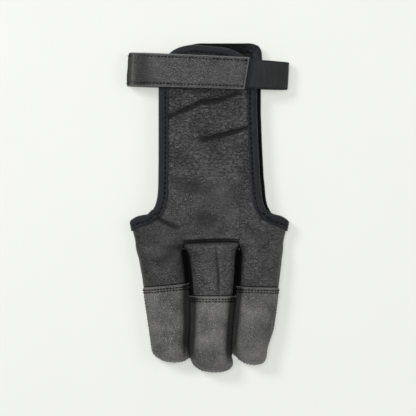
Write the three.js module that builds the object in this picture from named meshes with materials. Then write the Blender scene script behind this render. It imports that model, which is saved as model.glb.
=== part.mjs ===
// Three-finger leather archery glove, lying flat with its wrist strap closed.
// Millimetres, +Z up. Fingers point to -Y, the visible front lies up, the back rests at Z = 0.

import * as THREE from 'three';

// Leather and trim thicknesses
const leatherWall = 1.2;
const capWall = 1.8;
const strapWall = 1.8;
const elasticWall = 1.5;
const hookWall = 1.0;
const tapeWall = 1.0;
const clearance = 0.3;

// Hand: from the line where the fingers part, up to the rounded end of the wrist strip
const handLength = 128.3;
const knuckleWidth = 101.8;
const knuckleHeight = 16.3;
const handCentre = 0.9;
const wristHeight = 12.6;
const wristStripWidth = 62.1;
const sideSeamHeight = 6.4;
const stripSlant = 0.1;
const slantStart = 0.84;
const slantSpan = 0.14;
const backStripShift = 2.6;
const backStripExtra = 2.2;

// Fingers
const fingerHeight = 15.5;
const fingerSeamHeight = 6.4;
const webLength = 9;
const webStart = 2.4;
const tipRound = 8;
const capProud = 0.65;
const capLap = 5.5;
const tuckLength = 2.2;
const tuckDepth = capWall + clearance - capProud;

// Folded binding and the two loops of the closed wrist strap
const bindingWidth = 6.5;
const bindingOver = clearance + tapeWall;
const tapeRound = tapeWall / 3;
const joinFlare = 0.32;
const straightFlare = 0.8;
const strapFromFingers = 112.3;
const strapSlope = -0.042;
const strapWidth = 21.4;
const strapTaper = -0.016;
const strapEnd = 25.4;
const strapEndSlant = 0.1;
const strapFold = 53.05;
const elasticFold = 53.1;
const elasticWidth = 19.9;
const elasticTaper = -0.035;
const elasticUnderlap = 29;
const foldHeight = 10.6;
const lowerJoint = 5;
const hookLength = 22;
const hookInset = 1.6;
const stripTop = wristHeight + bindingOver + clearance;
const elasticStart = strapEnd - elasticUnderlap;
const overElastic = elasticWall + hookWall + 2 * clearance;

// Roundness of the cross sections: 2 is an ellipse, more is squarer
const topRoundness = 2.4;
const bottomRoundness = 3.4;
const tipRoundness = 2.4;
const bottomSag = 0.6;

const leatherMaterial = { color: 0x4b4c4f, roughness: 0.55, metalness: 0 };
const capMaterial = { color: 0x56575a, roughness: 0.5, metalness: 0 };
const innerLeatherMaterial = { color: 0x3f4043, roughness: 0.7, metalness: 0 };
const bindingMaterial = { color: 0x23262f, roughness: 0.85, metalness: 0 };
const elasticMaterial = { color: 0x323436, roughness: 0.9, metalness: 0 };
const hookMaterial = { color: 0x1f2022, roughness: 0.95, metalness: 0 };

// Sections of the hand. along: share of the hand's length from the finger line.
// half: share of half the knuckle width. rise: 0 at the wrist height, 1 at the knuckle height.
// seam: side seam height as a share of sideSeamHeight.
const handSections = [
  { along: -0.10, half: 0.950, rise: 0.80, seam: 1.00 },
  { along: 0.000, half: 0.955, rise: 0.82, seam: 1.00 },
  { along: 0.070, half: 0.990, rise: 0.97, seam: 1.00 },
  { along: 0.110, half: 1.000, rise: 1.00, seam: 1.00 },
  { along: 0.200, half: 0.970, rise: 0.90, seam: 0.98 },
  { along: 0.350, half: 0.920, rise: 0.56, seam: 0.93 },
  { along: 0.500, half: 0.890, rise: 0.28, seam: 0.90 },
  { along: 0.750, half: 0.870, rise: 0.03, seam: 0.90 },
  { along: 1.020, half: 0.870, rise: -0.06, seam: 0.90 },
];

// Edge of the panels. strip: share of half the wrist strip's width.
// flare: 0 on the wrist strip, 1 where the edge has reached the side seam.
// shift: how far the strip's centre line leans, as a share of its width.
// corner: how far the back's right corner stands out, as a share of half the strip's width.
const edgeRows = [
  { along: 0.101, strip: 1.040, flare: 1.00, shift: 0.018, corner: 0.00 },
  { along: 0.103, strip: 1.040, flare: 0.985, shift: 0.018, corner: 0.00 },
  { along: 0.108, strip: 1.040, flare: 0.93, shift: 0.018, corner: 0.00 },
  { along: 0.114, strip: 1.040, flare: 0.87, shift: 0.018, corner: 0.00 },
  { along: 0.121, strip: 1.040, flare: 0.77, shift: 0.018, corner: 0.00 },
  { along: 0.131, strip: 1.040, flare: 0.60, shift: 0.018, corner: 0.00 },
  { along: 0.140, strip: 1.040, flare: 0.44, shift: 0.018, corner: 0.00 },
  { along: 0.146, strip: 1.040, flare: 0.37, shift: 0.018, corner: 0.00 },
  { along: 0.154, strip: 1.040, flare: 0.29, shift: 0.018, corner: 0.00 },
  { along: 0.163, strip: 1.040, flare: 0.235, shift: 0.018, corner: 0.00 },
  { along: 0.190, strip: 1.040, flare: 0.13, shift: 0.018, corner: 0.00 },
  { along: 0.225, strip: 1.040, flare: 0.06, shift: 0.018, corner: 0.00 },
  { along: 0.273, strip: 1.040, flare: 0.02, shift: 0.018, corner: 0.00 },
  { along: 0.340, strip: 1.032, flare: 0.00, shift: 0.012, corner: 0.00 },
  { along: 0.415, strip: 1.022, flare: 0.00, shift: 0.009, corner: 0.00 },
  { along: 0.490, strip: 1.014, flare: 0.00, shift: 0.005, corner: 0.00 },
  { along: 0.565, strip: 1.008, flare: 0.00, shift: 0.002, corner: 0.00 },
  { along: 0.620, strip: 1.004, flare: 0.00, shift: 0.000, corner: 0.00 },
  { along: 0.670, strip: 1.000, flare: 0.00, shift: -0.002, corner: 0.00 },
  { along: 0.760, strip: 1.000, flare: 0.00, shift: -0.002, corner: 0.00 },
  { along: 0.838, strip: 1.000, flare: 0.00, shift: -0.002, corner: 0.00 },
  { along: 0.885, strip: 0.965, flare: 0.00, shift: 0.000, corner: 0.03 },
  { along: 0.924, strip: 0.890, flare: 0.00, shift: 0.004, corner: 0.10 },
  { along: 0.959, strip: 0.760, flare: 0.00, shift: 0.010, corner: 0.21 },
  { along: 0.984, strip: 0.580, flare: 0.00, shift: 0.015, corner: 0.33 },
  { along: 1.000, strip: 0.350, flare: 0.00, shift: 0.015, corner: 0.42 },
];

// Rows of the knuckle band, between the finger line and the lowest edge row
const knuckleRows = [{ along: 0.012 }, { along: 0.042 }, { along: 0.074 }];

// Height of the back over the floor: 1 where its binding, or the strap's lower run, lies under it
const backLift = [
  { along: 0.060, binding: 0, strap: 0 },
  { along: 0.115, binding: 1, strap: 0 },
  { along: 0.620, binding: 1, strap: 0 },
  { along: 0.740, binding: 1, strap: 1 },
  { along: 1.020, binding: 1, strap: 1 },
];

// Folds in the leather of the front. Ends as shares: across of half the knuckle width,
// along of the hand's length. depth above 0 is a ridge, below 0 a crease.
const folds = [
  { across1: -0.46, along1: 0.66, across2: 0.34, along2: 0.77, width: 3.2, depth: -0.9 },
  { across1: -0.34, along1: 0.63, across2: 0.40, along2: 0.72, width: 4.0, depth: 0.9 },
  { across1: -0.05, along1: 0.52, across2: 0.48, along2: 0.59, width: 3.0, depth: -0.9 },
  { across1: 0.00, along1: 0.47, across2: 0.44, along2: 0.54, width: 4.0, depth: 0.7 },
  { across1: -0.64, along1: 0.13, across2: -0.32, along2: 0.06, width: 3.0, depth: -1.0 },
  { across1: 0.05, along1: 0.10, across2: 0.30, along2: 0.06, width: 7.0, depth: -0.7 },
];

// Share of a fold's depth that is left at its two ends
const foldEndShare = 0.35;

// Fingers. base: centre at the finger line. lean: degrees that the rows turn.
// Sections: along of the finger's length, width and drift of the finger's width.
const fingers = {
  left: {
    base: -31.8, width: 30.6, length: 77.6, capLength: 50.0, lean: 6,
    sections: [
      { along: 0.00, width: 1.00, drift: 0.00 },
      { along: 0.33, width: 0.96, drift: 0.125 },
      { along: 0.70, width: 0.83, drift: 0.190 },
      { along: 0.89, width: 0.75, drift: 0.215 },
      { along: 1.00, width: 0.74, drift: 0.320 },
    ],
  },
  middle: {
    base: 2.3, width: 36.0, length: 84.1, capLength: 49.6, lean: 0,
    sections: [
      { along: 0.00, width: 1.00, drift: 0.00 },
      { along: 0.30, width: 0.85, drift: 0.030 },
      { along: 0.65, width: 0.73, drift: 0.000 },
      { along: 0.83, width: 0.73, drift: -0.025 },
      { along: 1.00, width: 0.73, drift: 0.060 },
    ],
  },
  right: {
    base: 35.4, width: 28.6, length: 79.2, capLength: 50.6, lean: -2,
    sections: [
      { along: 0.00, width: 1.00, drift: 0.00 },
      { along: 0.33, width: 0.94, drift: -0.075 },
      { along: 0.69, width: 0.90, drift: -0.185 },
      { along: 0.88, width: 0.77, drift: -0.272 },
      { along: 0.95, width: 0.68, drift: -0.230 },
      { along: 1.00, width: 0.64, drift: -0.170 },
    ],
  },
};

// Upper run of the strap: places before the band's start as shares of strapEnd, then the way
// down from the band. back: distance beyond the band's start. climb: share of overElastic.
const strapFlatShares = [1, 0.6, 0.2];
const strapClimbRows = [
  { back: 1, climb: 1 },
  { back: 5, climb: 0.88 },
  { back: 11, climb: 0.5 },
  { back: 17, climb: 0.12 },
  { back: 21, climb: 0 },
];

// Upper run of the band on the strip, as shares of half the strip's width
const elasticFlatShares = [0.35, 0.9];

// Both upper runs past the strip's edge. beyond: distance from that edge. sink: below stripTop.
const strapSinkRows = [
  { beyond: 2, sink: 0.2 },
  { beyond: 7, sink: 1.2 },
  { beyond: 12, sink: 2.8 },
];
const elasticSinkRows = [
  { beyond: 3, sink: 0.2 },
  { beyond: 8, sink: 1.3 },
  { beyond: 13, sink: 3.0 },
];

// Seam between front and back. seamReach: share of the side seam's height where the gap begins.
const seamGap = clearance / 2;
const seamReach = 0.6;

// Angles round a finger, in degrees: 0 right, 90 top, 180 left, 270 bottom
const frontSeamAngle = 20;
const backSeamAngle = -28;
const seamGapAngle = 2;

// How finely each piece is divided
const outerFingerColumns = 7;
const middleColumns = 8;
const backFingerColumns = 5;
const capColumns = 18;
const capRows = [0, 0.22, 0.45, 0.66, 0.82];
const tipRows = [0.35, 0.62, 0.83, 0.95];
const sleeveRows = [0.10, 0.21, 0.34, 0.52, 0.76];
const foldSteps = 8;

// Value of one column of a table at a place along it, on a smooth curve through its rows
function tableValue(rows, column, along) {
  const last = rows.length - 1;
  const place = Math.min(Math.max(along, rows[0].along), rows[last].along);
  let low = 0;
  while (low < last - 1 && rows[low + 1].along < place) low += 1;
  const slope = (a, b) => (rows[b][column] - rows[a][column]) / (rows[b].along - rows[a].along);
  const span = rows[low + 1].along - rows[low].along;
  const chord = slope(low, low + 1);
  const limited = (other) => (chord * other <= 0 ? 0 : 2 * chord * other / (chord + other));
  const startSlope = low > 0 ? limited(slope(low - 1, low)) : chord;
  const endSlope = low + 1 < last ? limited(slope(low + 1, low + 2)) : chord;
  const t = (place - rows[low].along) / span;
  const start = rows[low][column];
  const end = rows[low + 1][column];
  const s = t * t * (3 - 2 * t);
  const curve = (1 - s) * start + s * end;
  return curve + span * (t * (1 - t) * ((1 - t) * startSlope - t * endSlope));
}

function smoothStep(value) {
  const t = Math.min(Math.max(value, 0), 1);
  return t * t * (3 - 2 * t);
}

function roundShare(share, roundness) {
  return (1 - Math.min(Math.abs(share), 1) ** roundness) ** (1 / roundness);
}

function powerCosine(angle, roundness) {
  const cosine = Math.cos(THREE.MathUtils.degToRad(angle));
  return Math.sign(cosine) * Math.abs(cosine) ** (2 / roundness);
}

function powerSine(angle, roundness) {
  return Math.abs(Math.sin(THREE.MathUtils.degToRad(angle))) ** (2 / roundness);
}

// Height that the folds add to the front at a place
function foldRise(x, y) {
  let rise = 0;
  for (const fold of folds) {
    const start = new THREE.Vector2(fold.across1 * knuckleWidth / 2, fold.along1 * handLength);
    const end = new THREE.Vector2(fold.across2 * knuckleWidth / 2, fold.along2 * handLength);
    const line = end.clone().sub(start);
    const place = new THREE.Vector2(x, y).sub(start);
    const share = Math.min(Math.max(place.dot(line) / line.lengthSq(), 0), 1);
    const distance = place.distanceTo(line.clone().multiplyScalar(share));
    const fade = THREE.MathUtils.lerp(foldEndShare, 1, Math.sin(Math.PI * share));
    rise += fold.depth * fade * Math.exp(-((distance / fold.width) ** 2));
  }
  return rise;
}

function backHeight(along) {
  const underBinding = tableValue(backLift, 'binding', along) * bindingOver;
  return underBinding + tableValue(backLift, 'strap', along) * (strapWall + clearance);
}

function handHalf(y) {
  return tableValue(handSections, 'half', y / handLength) * knuckleWidth / 2;
}

// Point on the hand's skin. across: -1 left side seam to 1 right side seam.
// offset: distance outwards from the skin.
function handPoint(y, across, face, offset) {
  const along = y / handLength;
  const half = handHalf(y) + offset;
  const seam = tableValue(handSections, 'seam', along) * sideSeamHeight;
  const x = handCentre + half * across;
  if (face === 'front') {
    const rise = tableValue(handSections, 'rise', along);
    const top = wristHeight + (knuckleHeight - wristHeight) * rise;
    const dome = (top - seam + offset) * roundShare(across, topRoundness);
    const calm = roundShare(across, tipRoundness);
    return new THREE.Vector3(x, y, seam + dome + calm * foldRise(x, y));
  }
  const floor = backHeight(along);
  const bowl = (seam - floor + bottomSag + offset) * roundShare(across, bottomRoundness);
  return new THREE.Vector3(x, y, Math.max(seam - bowl, floor - offset));
}

// Point on a finger's skin
function stallPoint(finger, distance, angle, offset) {
  const reach = finger.length + offset;
  const along = distance / finger.length;
  const roundStart = finger.length - tipRound;
  const tipShare = Math.max(distance - roundStart, 0) / (reach - roundStart);
  const rounding = roundShare(tipShare, tipRoundness);
  const width = tableValue(finger.sections, 'width', along) * finger.width;
  const half = (width / 2 + offset) * rounding;
  const centre = finger.base + tableValue(finger.sections, 'drift', along) * finger.width;
  const lowHalf = (fingerSeamHeight + bottomSag + offset) * rounding;
  const topHalf = (fingerHeight - fingerSeamHeight + offset) * rounding;
  const turn = Math.sin(THREE.MathUtils.degToRad(angle)) >= 0;
  const roundness = turn ? topRoundness : bottomRoundness;
  const x = half * powerCosine(angle, roundness);
  const rise = turn ? topHalf * powerSine(angle, roundness) : -lowHalf * powerSine(angle, roundness);
  const z = Math.max(fingerSeamHeight + rise, -offset, 0);
  const lean = Math.tan(THREE.MathUtils.degToRad(finger.lean)) * x * (1 - Math.min(along, 1) ** 2);
  return new THREE.Vector3(centre + x, lean - distance, z);
}

// A finger's skin, which grows out of the hand's skin over the length of the web
function skinPoint(finger, distance, column, offset) {
  const onStall = stallPoint(finger, distance, column.angle, offset);
  const onHand = column.web === undefined
    ? handPoint(-distance, column.across, column.face, offset)
    : webPoint(-distance, column, offset);
  return onHand.lerp(onStall, smoothStep(distance / webLength));
}

// Side wall between two fingers where it meets the hand: web runs 0 at the front to 1 at the back
function webPoint(y, column, offset) {
  const low = handPoint(y, column.across, 'back', -leatherWall - clearance);
  const high = handPoint(y, column.across, 'front', -leatherWall - clearance);
  const point = high.lerp(low, column.web);
  point.x = handPoint(y, column.across, 'front', 0).x + column.side * offset;
  return point;
}

// Places across the hand where neighbouring fingers part
function partingAcross(leftFinger, rightFinger) {
  const x = (leftFinger.base + leftFinger.width / 2 + rightFinger.base - rightFinger.width / 2) / 2;
  return (x - handCentre) / handHalf(0);
}

const leftParting = partingAcross(fingers.left, fingers.middle);
const rightParting = partingAcross(fingers.middle, fingers.right);
const partingGap = clearance / knuckleWidth;

function angleAcross(across) {
  const cosine = Math.sign(across) * Math.abs(across) ** (topRoundness / 2);
  return THREE.MathUtils.radToDeg(Math.acos(cosine));
}

// Columns of a panel over one finger: each has a place across the hand and an angle on the finger
function panelColumns(face, count, startAcross, endAcross, startAngle, endAngle) {
  const startTurn = angleAcross(startAcross);
  const endTurn = angleAcross(endAcross);
  const columns = [];
  for (let i = 0; i <= count; i += 1) {
    const share = i / count;
    const turn = THREE.MathUtils.lerp(startTurn, endTurn, share);
    columns.push({
      face,
      across: powerCosine(turn, topRoundness),
      angle: THREE.MathUtils.lerp(startAngle, endAngle, share),
    });
  }
  return columns;
}

function geometryFrom(points, triangles) {
  const geometry = new THREE.BufferGeometry();
  const positions = points.flatMap((point) => [point.x, point.y, point.z]);
  let volume = 0;
  for (const [a, b, c] of triangles) {
    volume += points[a].dot(points[b].clone().cross(points[c]));
  }
  const facingOut = volume > 0 ? triangles : triangles.map(([a, b, c]) => [a, c, b]);
  geometry.setAttribute('position', new THREE.Float32BufferAttribute(positions, 3));
  geometry.setIndex(facingOut.flat());
  geometry.computeVertexNormals();
  return geometry;
}

// Closed wall from an outer and an inner skin that share their triangles
function wallGeometry(outer, inner, triangles) {
  const count = outer.length;
  const faces = [];
  const edges = new Map();
  for (const [a, b, c] of triangles) {
    faces.push([a, b, c], [a + count, c + count, b + count]);
    for (const [start, end] of [[a, b], [b, c], [c, a]]) {
      const opposite = `${end},${start}`;
      if (edges.has(opposite)) edges.delete(opposite);
      else edges.set(`${start},${end}`, [start, end]);
    }
  }
  for (const [start, end] of edges.values()) {
    faces.push([start, start + count, end + count], [start, end + count, end]);
  }
  return geometryFrom([...outer, ...inner], faces);
}

// Skin made of strips of quads between rows of point pairs
class Skin {
  constructor() {
    this.outer = [];
    this.inner = [];
    this.triangles = [];
  }

  row(pairs) {
    const start = this.outer.length;
    for (const [outer, inner] of pairs) {
      this.outer.push(outer);
      this.inner.push(inner);
    }
    return pairs.map((pair, index) => start + index);
  }

  join(rowA, rowB) {
    for (let i = 0; i + 1 < rowA.length; i += 1) {
      this.triangles.push([rowA[i], rowA[i + 1], rowB[i + 1]], [rowA[i], rowB[i + 1], rowB[i]]);
    }
  }

  close(row, tip) {
    for (let i = 0; i + 1 < row.length; i += 1) this.triangles.push([row[i], row[i + 1], tip]);
  }

  geometry() {
    return wallGeometry(this.outer, this.inner, this.triangles);
  }
}

// Solid between rings of points. outline: the ring's own flat shape, for its two ends.
function ringGeometry(rings, outline) {
  const count = outline.length;
  const triangles = [];
  for (let i = 0; i + 1 < rings.length; i += 1) {
    for (let j = 0; j < count; j += 1) {
      const a = i * count + j;
      const b = i * count + (j + 1) % count;
      triangles.push([a, b, b + count], [a, b + count, a + count]);
    }
  }
  const end = (rings.length - 1) * count;
  const flipped = THREE.ShapeUtils.area(outline) < 0;
  for (const [a, b, c] of THREE.ShapeUtils.triangulateShape(outline, [])) {
    const [p, q, r] = flipped ? [a, b, c] : [a, c, b];
    triangles.push([p, q, r], [end + p, end + r, end + q]);
  }
  return geometryFrom(rings.flat(), triangles);
}

// Edge of a panel at one row: x at the left and right, and the row's height along the hand
function edgeAt(row, face) {
  const back = face === 'back';
  const y = row.along * (handLength + (back ? backStripExtra * (1 - row.flare) : 0));
  const half = handHalf(y);
  const corner = back ? row.corner * wristStripWidth / 2 : 0;
  const strip = row.strip * wristStripWidth / 2;
  const shift = row.shift * wristStripWidth + (back ? backStripShift : 0);
  const reach = strip + (half - strip) * row.flare;
  const centre = shift + (handCentre - shift) * row.flare;
  return { y, left: centre - reach, right: centre + reach + corner, half };
}

function slantAt(along, x, face) {
  if (face === 'back') return 0;
  return -stripSlant * x * smoothStep((along - slantStart) / slantSpan);
}

// One row of a panel across the hand
function panelRow(row, columns, face) {
  const edge = edgeAt(row, face);
  return columns.map((column) => {
    const x = THREE.MathUtils.lerp(edge.left, edge.right, (column.across + 1) / 2);
    const across = (x - handCentre) / edge.half;
    const y = edge.y + slantAt(row.along, x, face);
    return [handPoint(y, across, face, 0), handPoint(y, across, face, -leatherWall)];
  });
}

function knuckleRow(along, columns, face) {
  const y = along * handLength;
  return columns.map((column) => [
    handPoint(y, column.across, face, 0),
    handPoint(y, column.across, face, -leatherWall),
  ]);
}

// Rows of a finger's sleeve: distance from the finger line, and how far it tucks under the cap
function sleeveStations(finger, startDistance) {
  const capEdge = finger.length - finger.capLength;
  const freeLength = capEdge - tuckLength - startDistance;
  const stations = [{ distance: startDistance, tuck: 0 }];
  for (const share of sleeveRows) {
    stations.push({ distance: startDistance + share * freeLength, tuck: 0 });
  }
  stations.push({ distance: capEdge - tuckLength, tuck: 0 });
  stations.push({ distance: capEdge - clearance, tuck: tuckDepth });
  stations.push({ distance: capEdge + capLap, tuck: tuckDepth });
  return stations;
}

function sleeveRow(finger, station, columns) {
  return columns.map((column) => [
    skinPoint(finger, station.distance, column, -station.tuck),
    skinPoint(finger, station.distance, column, -station.tuck - leatherWall),
  ]);
}

// Front: wrist strip, knuckle band and the fronts of the two outer fingers
function frontPanelGeometry() {
  const skin = new Skin();
  const leftColumns = panelColumns('front', outerFingerColumns, -1, leftParting, 180, frontSeamAngle);
  const middle = panelColumns('front', middleColumns, leftParting, rightParting, 0, 0);
  const rightColumns = panelColumns(
    'front', outerFingerColumns, rightParting, 1, 180 - frontSeamAngle, 0);
  const columns = [...leftColumns, ...middle.slice(1), ...rightColumns.slice(1)];
  const rows = [...edgeRows].reverse().map((row) => panelRow(row, columns, 'front'));
  for (const row of [...knuckleRows].reverse()) rows.push(knuckleRow(row.along, columns, 'front'));
  rows.push(knuckleRow(seamGap / handLength, columns, 'front'));
  let above = skin.row(rows[0]);
  for (const row of rows.slice(1)) {
    const below = skin.row(row);
    skin.join(above, below);
    above = below;
  }
  const rightStart = columns.length - rightColumns.length;
  addSleeve(skin, fingers.left, leftColumns, above.slice(0, leftColumns.length), 'end');
  addSleeve(skin, fingers.right, rightColumns, above.slice(rightStart), 'start');
  return skin.geometry();
}

// Finger sleeve hung from a row of the hand, clear of its neighbour at the parting
function addSleeve(skin, finger, columns, firstRow, partingEnd) {
  const shifted = columns.map((column) => ({ ...column }));
  const parting = partingEnd === 'end' ? shifted[shifted.length - 1] : shifted[0];
  parting.across += partingEnd === 'end' ? -partingGap : partingGap;
  let above = firstRow;
  for (const station of sleeveStations(finger, seamGap).slice(1)) {
    const below = skin.row(sleeveRow(finger, station, shifted));
    skin.join(above, below);
    above = below;
  }
}

function middlePanelGeometry() {
  const skin = new Skin();
  const columns = panelColumns('front', middleColumns, leftParting + partingGap,
    rightParting - partingGap, 180 - frontSeamAngle, frontSeamAngle);
  let above = null;
  for (const station of sleeveStations(fingers.middle, seamGap)) {
    const below = skin.row(sleeveRow(fingers.middle, station, columns));
    if (above) skin.join(above, below);
    above = below;
  }
  return skin.geometry();
}

// Back: wrist strip, hand and the backs of all three fingers
function backPanelGeometry() {
  const skin = new Skin();
  const seam = -seamGapAngle;
  const groups = [
    { finger: fingers.left, start: -1, end: leftParting, from: -180 - seam, to: backSeamAngle + seam },
    { finger: fingers.middle, start: leftParting, end: rightParting,
      from: -180 - backSeamAngle - seam, to: backSeamAngle + seam },
    { finger: fingers.right, start: rightParting, end: 1, from: -180 - backSeamAngle - seam, to: seam },
  ];
  for (const group of groups) {
    group.columns = panelColumns('back', backFingerColumns, group.start, group.end, group.from, group.to);
  }
  const columns = [
    ...groups[0].columns,
    ...groups[1].columns.slice(1),
    ...groups[2].columns.slice(1),
  ];
  const belowSeam = (pairs) => pairs.map((pair) => pair.map((point) => {
    point.z -= clearance * smoothStep((point.z / sideSeamHeight - seamReach) / (1 - seamReach));
    return point;
  }));
  const rows = [...edgeRows].reverse().map((row) => belowSeam(panelRow(row, columns, 'back')));
  for (const row of [...knuckleRows].reverse()) {
    rows.push(belowSeam(knuckleRow(row.along, columns, 'back')));
  }
  let above = skin.row(rows[0]);
  for (const row of rows.slice(1)) {
    const below = skin.row(row);
    skin.join(above, below);
    above = below;
  }
  const handRow = above;
  let first = 0;
  for (const group of groups) {
    const shifted = group.columns.map((column, index) => ({
      ...column,
      across: column.across
        + (index === 0 && group.start > -1 ? partingGap : 0)
        - (index === group.columns.length - 1 && group.end < 1 ? partingGap : 0),
    }));
    above = handRow.slice(first, first + group.columns.length);
    for (const station of sleeveStations(group.finger, seamGap)) {
      const below = skin.row(belowSeam(sleeveRow(group.finger, station, shifted)));
      skin.join(above, below);
      above = below;
    }
    first += group.columns.length - 1;
  }
  return skin.geometry();
}

// Side walls of two neighbouring fingers, one strip folded round the web between them
function fourchetteGeometry(leftFinger, rightFinger, across) {
  const heights = [0, 0.5, 1];
  const wall = (side) => heights.map((web) => {
    const angle = THREE.MathUtils.lerp(
      frontSeamAngle - seamGapAngle, backSeamAngle + seamGapAngle, web);
    const place = across + side * partingGap;
    return { web, side, across: place, angle: side < 0 ? angle : 180 - angle };
  });
  const ring = (finger, station, side) => {
    const columns = wall(side);
    const outer = columns.map((column) => skinPoint(finger, station.distance, column, -station.tuck));
    const inner = columns.map((column) => (
      skinPoint(finger, station.distance, column, -station.tuck - leatherWall)));
    return [...outer, ...inner.reverse()];
  };
  const webRing = () => {
    const columns = wall(-1);
    const x = handCentre + across * handHalf(0);
    const at = (column, y) => {
      const point = webPoint(y, column, 0);
      point.x = x;
      return point;
    };
    const outer = columns.map((column) => at(column, clearance - webStart));
    const inner = columns.map((column) => at(column, clearance + leatherWall - webStart));
    return [...outer, ...inner.reverse()];
  };
  const down = (finger) => sleeveStations(finger, webStart);
  const rings = [
    ...down(leftFinger).reverse().map((station) => ring(leftFinger, station, -1)),
    webRing(),
    ...down(rightFinger).map((station) => ring(rightFinger, station, 1)),
  ];
  const outline = [
    ...heights.map((height) => new THREE.Vector2(0, -height)),
    ...[...heights].reverse().map((height) => new THREE.Vector2(1, -height)),
  ];
  return ringGeometry(rings, outline);
}

// Leather thimble that laps over the end of a finger's sleeve
function capGeometry(finger) {
  const skin = new Skin();
  const capEdge = finger.length - finger.capLength;
  const straight = finger.capLength - tipRound;
  const ringAt = (outerDistance, innerDistance) => {
    const pairs = [];
    for (let i = 0; i < capColumns; i += 1) {
      const angle = 360 * i / capColumns;
      pairs.push([
        stallPoint(finger, outerDistance, angle, capProud),
        stallPoint(finger, innerDistance, angle, capProud - capWall),
      ]);
    }
    return skin.row(pairs);
  };
  const closed = (row) => [...row, row[0]];
  let above = null;
  for (const share of capRows) {
    const distance = capEdge + share * straight;
    const below = ringAt(distance, distance);
    if (above) skin.join(closed(above), closed(below));
    above = below;
  }
  const roundStart = finger.length - tipRound;
  for (const share of tipRows) {
    const below = ringAt(
      roundStart + share * (tipRound + capProud),
      roundStart + share * (tipRound + capProud - capWall));
    skin.join(closed(above), closed(below));
    above = below;
  }
  const tip = skin.row([[
    stallPoint(finger, finger.length + capProud, 0, capProud),
    stallPoint(finger, finger.length + capProud - capWall, 0, capProud - capWall),
  ]]);
  skin.close(closed(above), tip[0]);
  return skin.geometry();
}

// Plan view of a panel's edge, from the left opening over the top to the right opening
function edgePath(face, endFlare) {
  const rows = edgeRows.filter((row) => row.flare <= endFlare);
  const sides = rows.map((row) => {
    const edge = edgeAt(row, face);
    return {
      left: new THREE.Vector2(edge.left, edge.y + slantAt(row.along, edge.left, face)),
      right: new THREE.Vector2(edge.right, edge.y + slantAt(row.along, edge.right, face)),
    };
  });
  return [...sides.map((side) => side.left), ...sides.reverse().map((side) => side.right)];
}

// Section of the folded binding: x inwards from the leather's edge, y outwards from its skin
function bindingProfile() {
  const edge = -clearance;
  const inner = bindingWidth - bindingOver;
  const half = inner / 2;
  const under = -leatherWall - 2 * clearance;
  const corners = [
    [-bindingOver, bindingOver - tapeRound], [edge, bindingOver], [half, bindingOver],
    [inner, bindingOver], [inner, clearance], [half, clearance], [edge, clearance],
    [edge, under], [half, under], [inner, under], [inner, under - tapeWall],
    [half, under - tapeWall], [edge, under - tapeWall], [-bindingOver, under - tapeWall + tapeRound],
  ];
  return corners.map(([x, y]) => new THREE.Vector2(x, y));
}

// Direction in plan that points from a panel's edge into the panel, to the right of the path
function inwardAt(path, index) {
  const before = path[Math.max(index - 1, 0)];
  const after = path[Math.min(index + 1, path.length - 1)];
  const along = after.clone().sub(before).normalize();
  return new THREE.Vector2(along.y, -along.x);
}

// Fabric strip folded over the edge of a wrist strip
function stripBindingGeometry(face) {
  const path = edgePath(face, joinFlare);
  const sign = face === 'front' ? 1 : -1;
  const heightAt = (place) => {
    const across = (place.x - handCentre) / handHalf(place.y);
    return handPoint(place.y, across, face, 0).z;
  };
  const profile = bindingProfile();
  const rings = path.map((place, index) => {
    const inward = inwardAt(path, index);
    return profile.map(({ x, y }) => {
      const plan = place.clone().addScaledVector(inward, x);
      return new THREE.Vector3(plan.x, plan.y, heightAt(plan) + sign * y);
    });
  });
  return ringGeometry(rings, profile);
}

// Fabric strip folded over the lower rim of a side opening, from the front round to the back
function openingBindingGeometry(side) {
  const rim = edgeRows.filter((row) => row.flare > joinFlare).reverse();
  const beyond = edgeRows[rim.length];
  const places = [];
  for (const face of ['front', 'back']) {
    const path = [beyond, ...rim].map((row) => {
      const edge = edgeAt(row, face);
      return new THREE.Vector2(side < 0 ? edge.left : edge.right, edge.y);
    });
    const half = rim.map((row) => edgeAt(row, face).half);
    const stations = rim.map((row, index) => {
      const place = path[index + 1];
      const inward = inwardAt(path, index + 1).multiplyScalar(side < 0 ? -1 : 1);
      const down = smoothStep((row.flare - joinFlare) / (straightFlare - joinFlare));
      inward.lerp(new THREE.Vector2(0, -1), down).normalize();
      return { place, inward, half: half[index], face: row.flare >= 1 ? 'front' : face };
    });
    places.push(...(face === 'front' ? stations : stations.slice(0, -1).reverse()));
  }
  const profile = bindingProfile();
  const rings = places.map(({ place, inward, half, face }) => profile.map(({ x, y }) => {
    const plan = place.clone().addScaledVector(inward, x);
    return handPoint(plan.y, (plan.x - handCentre) / half, face, y);
  }));
  return ringGeometry(rings, profile);
}

// Flat band bent along a path in the XZ plane. edges gives its two long edges at each x.
function bandGeometry(path, wall, edges) {
  const rings = path.map((place, index) => {
    const before = path[Math.max(index - 1, 0)];
    const after = path[Math.min(index + 1, path.length - 1)];
    const along = after.clone().sub(before).normalize();
    const normal = new THREE.Vector2(-along.y, along.x).multiplyScalar(wall / 2);
    const above = place.clone().add(normal);
    const below = place.clone().sub(normal);
    const { low, high, lowShift, highShift } = edges(place.x, index);
    return [
      new THREE.Vector3(above.x + lowShift, low, above.y),
      new THREE.Vector3(above.x + highShift, high, above.y),
      new THREE.Vector3(below.x + highShift, high, below.y),
      new THREE.Vector3(below.x + lowShift, low, below.y),
    ];
  });
  const outline = [[0, 1], [1, 1], [1, 0], [0, 0]].map(([x, y]) => new THREE.Vector2(x, y));
  return ringGeometry(rings, outline);
}

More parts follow.
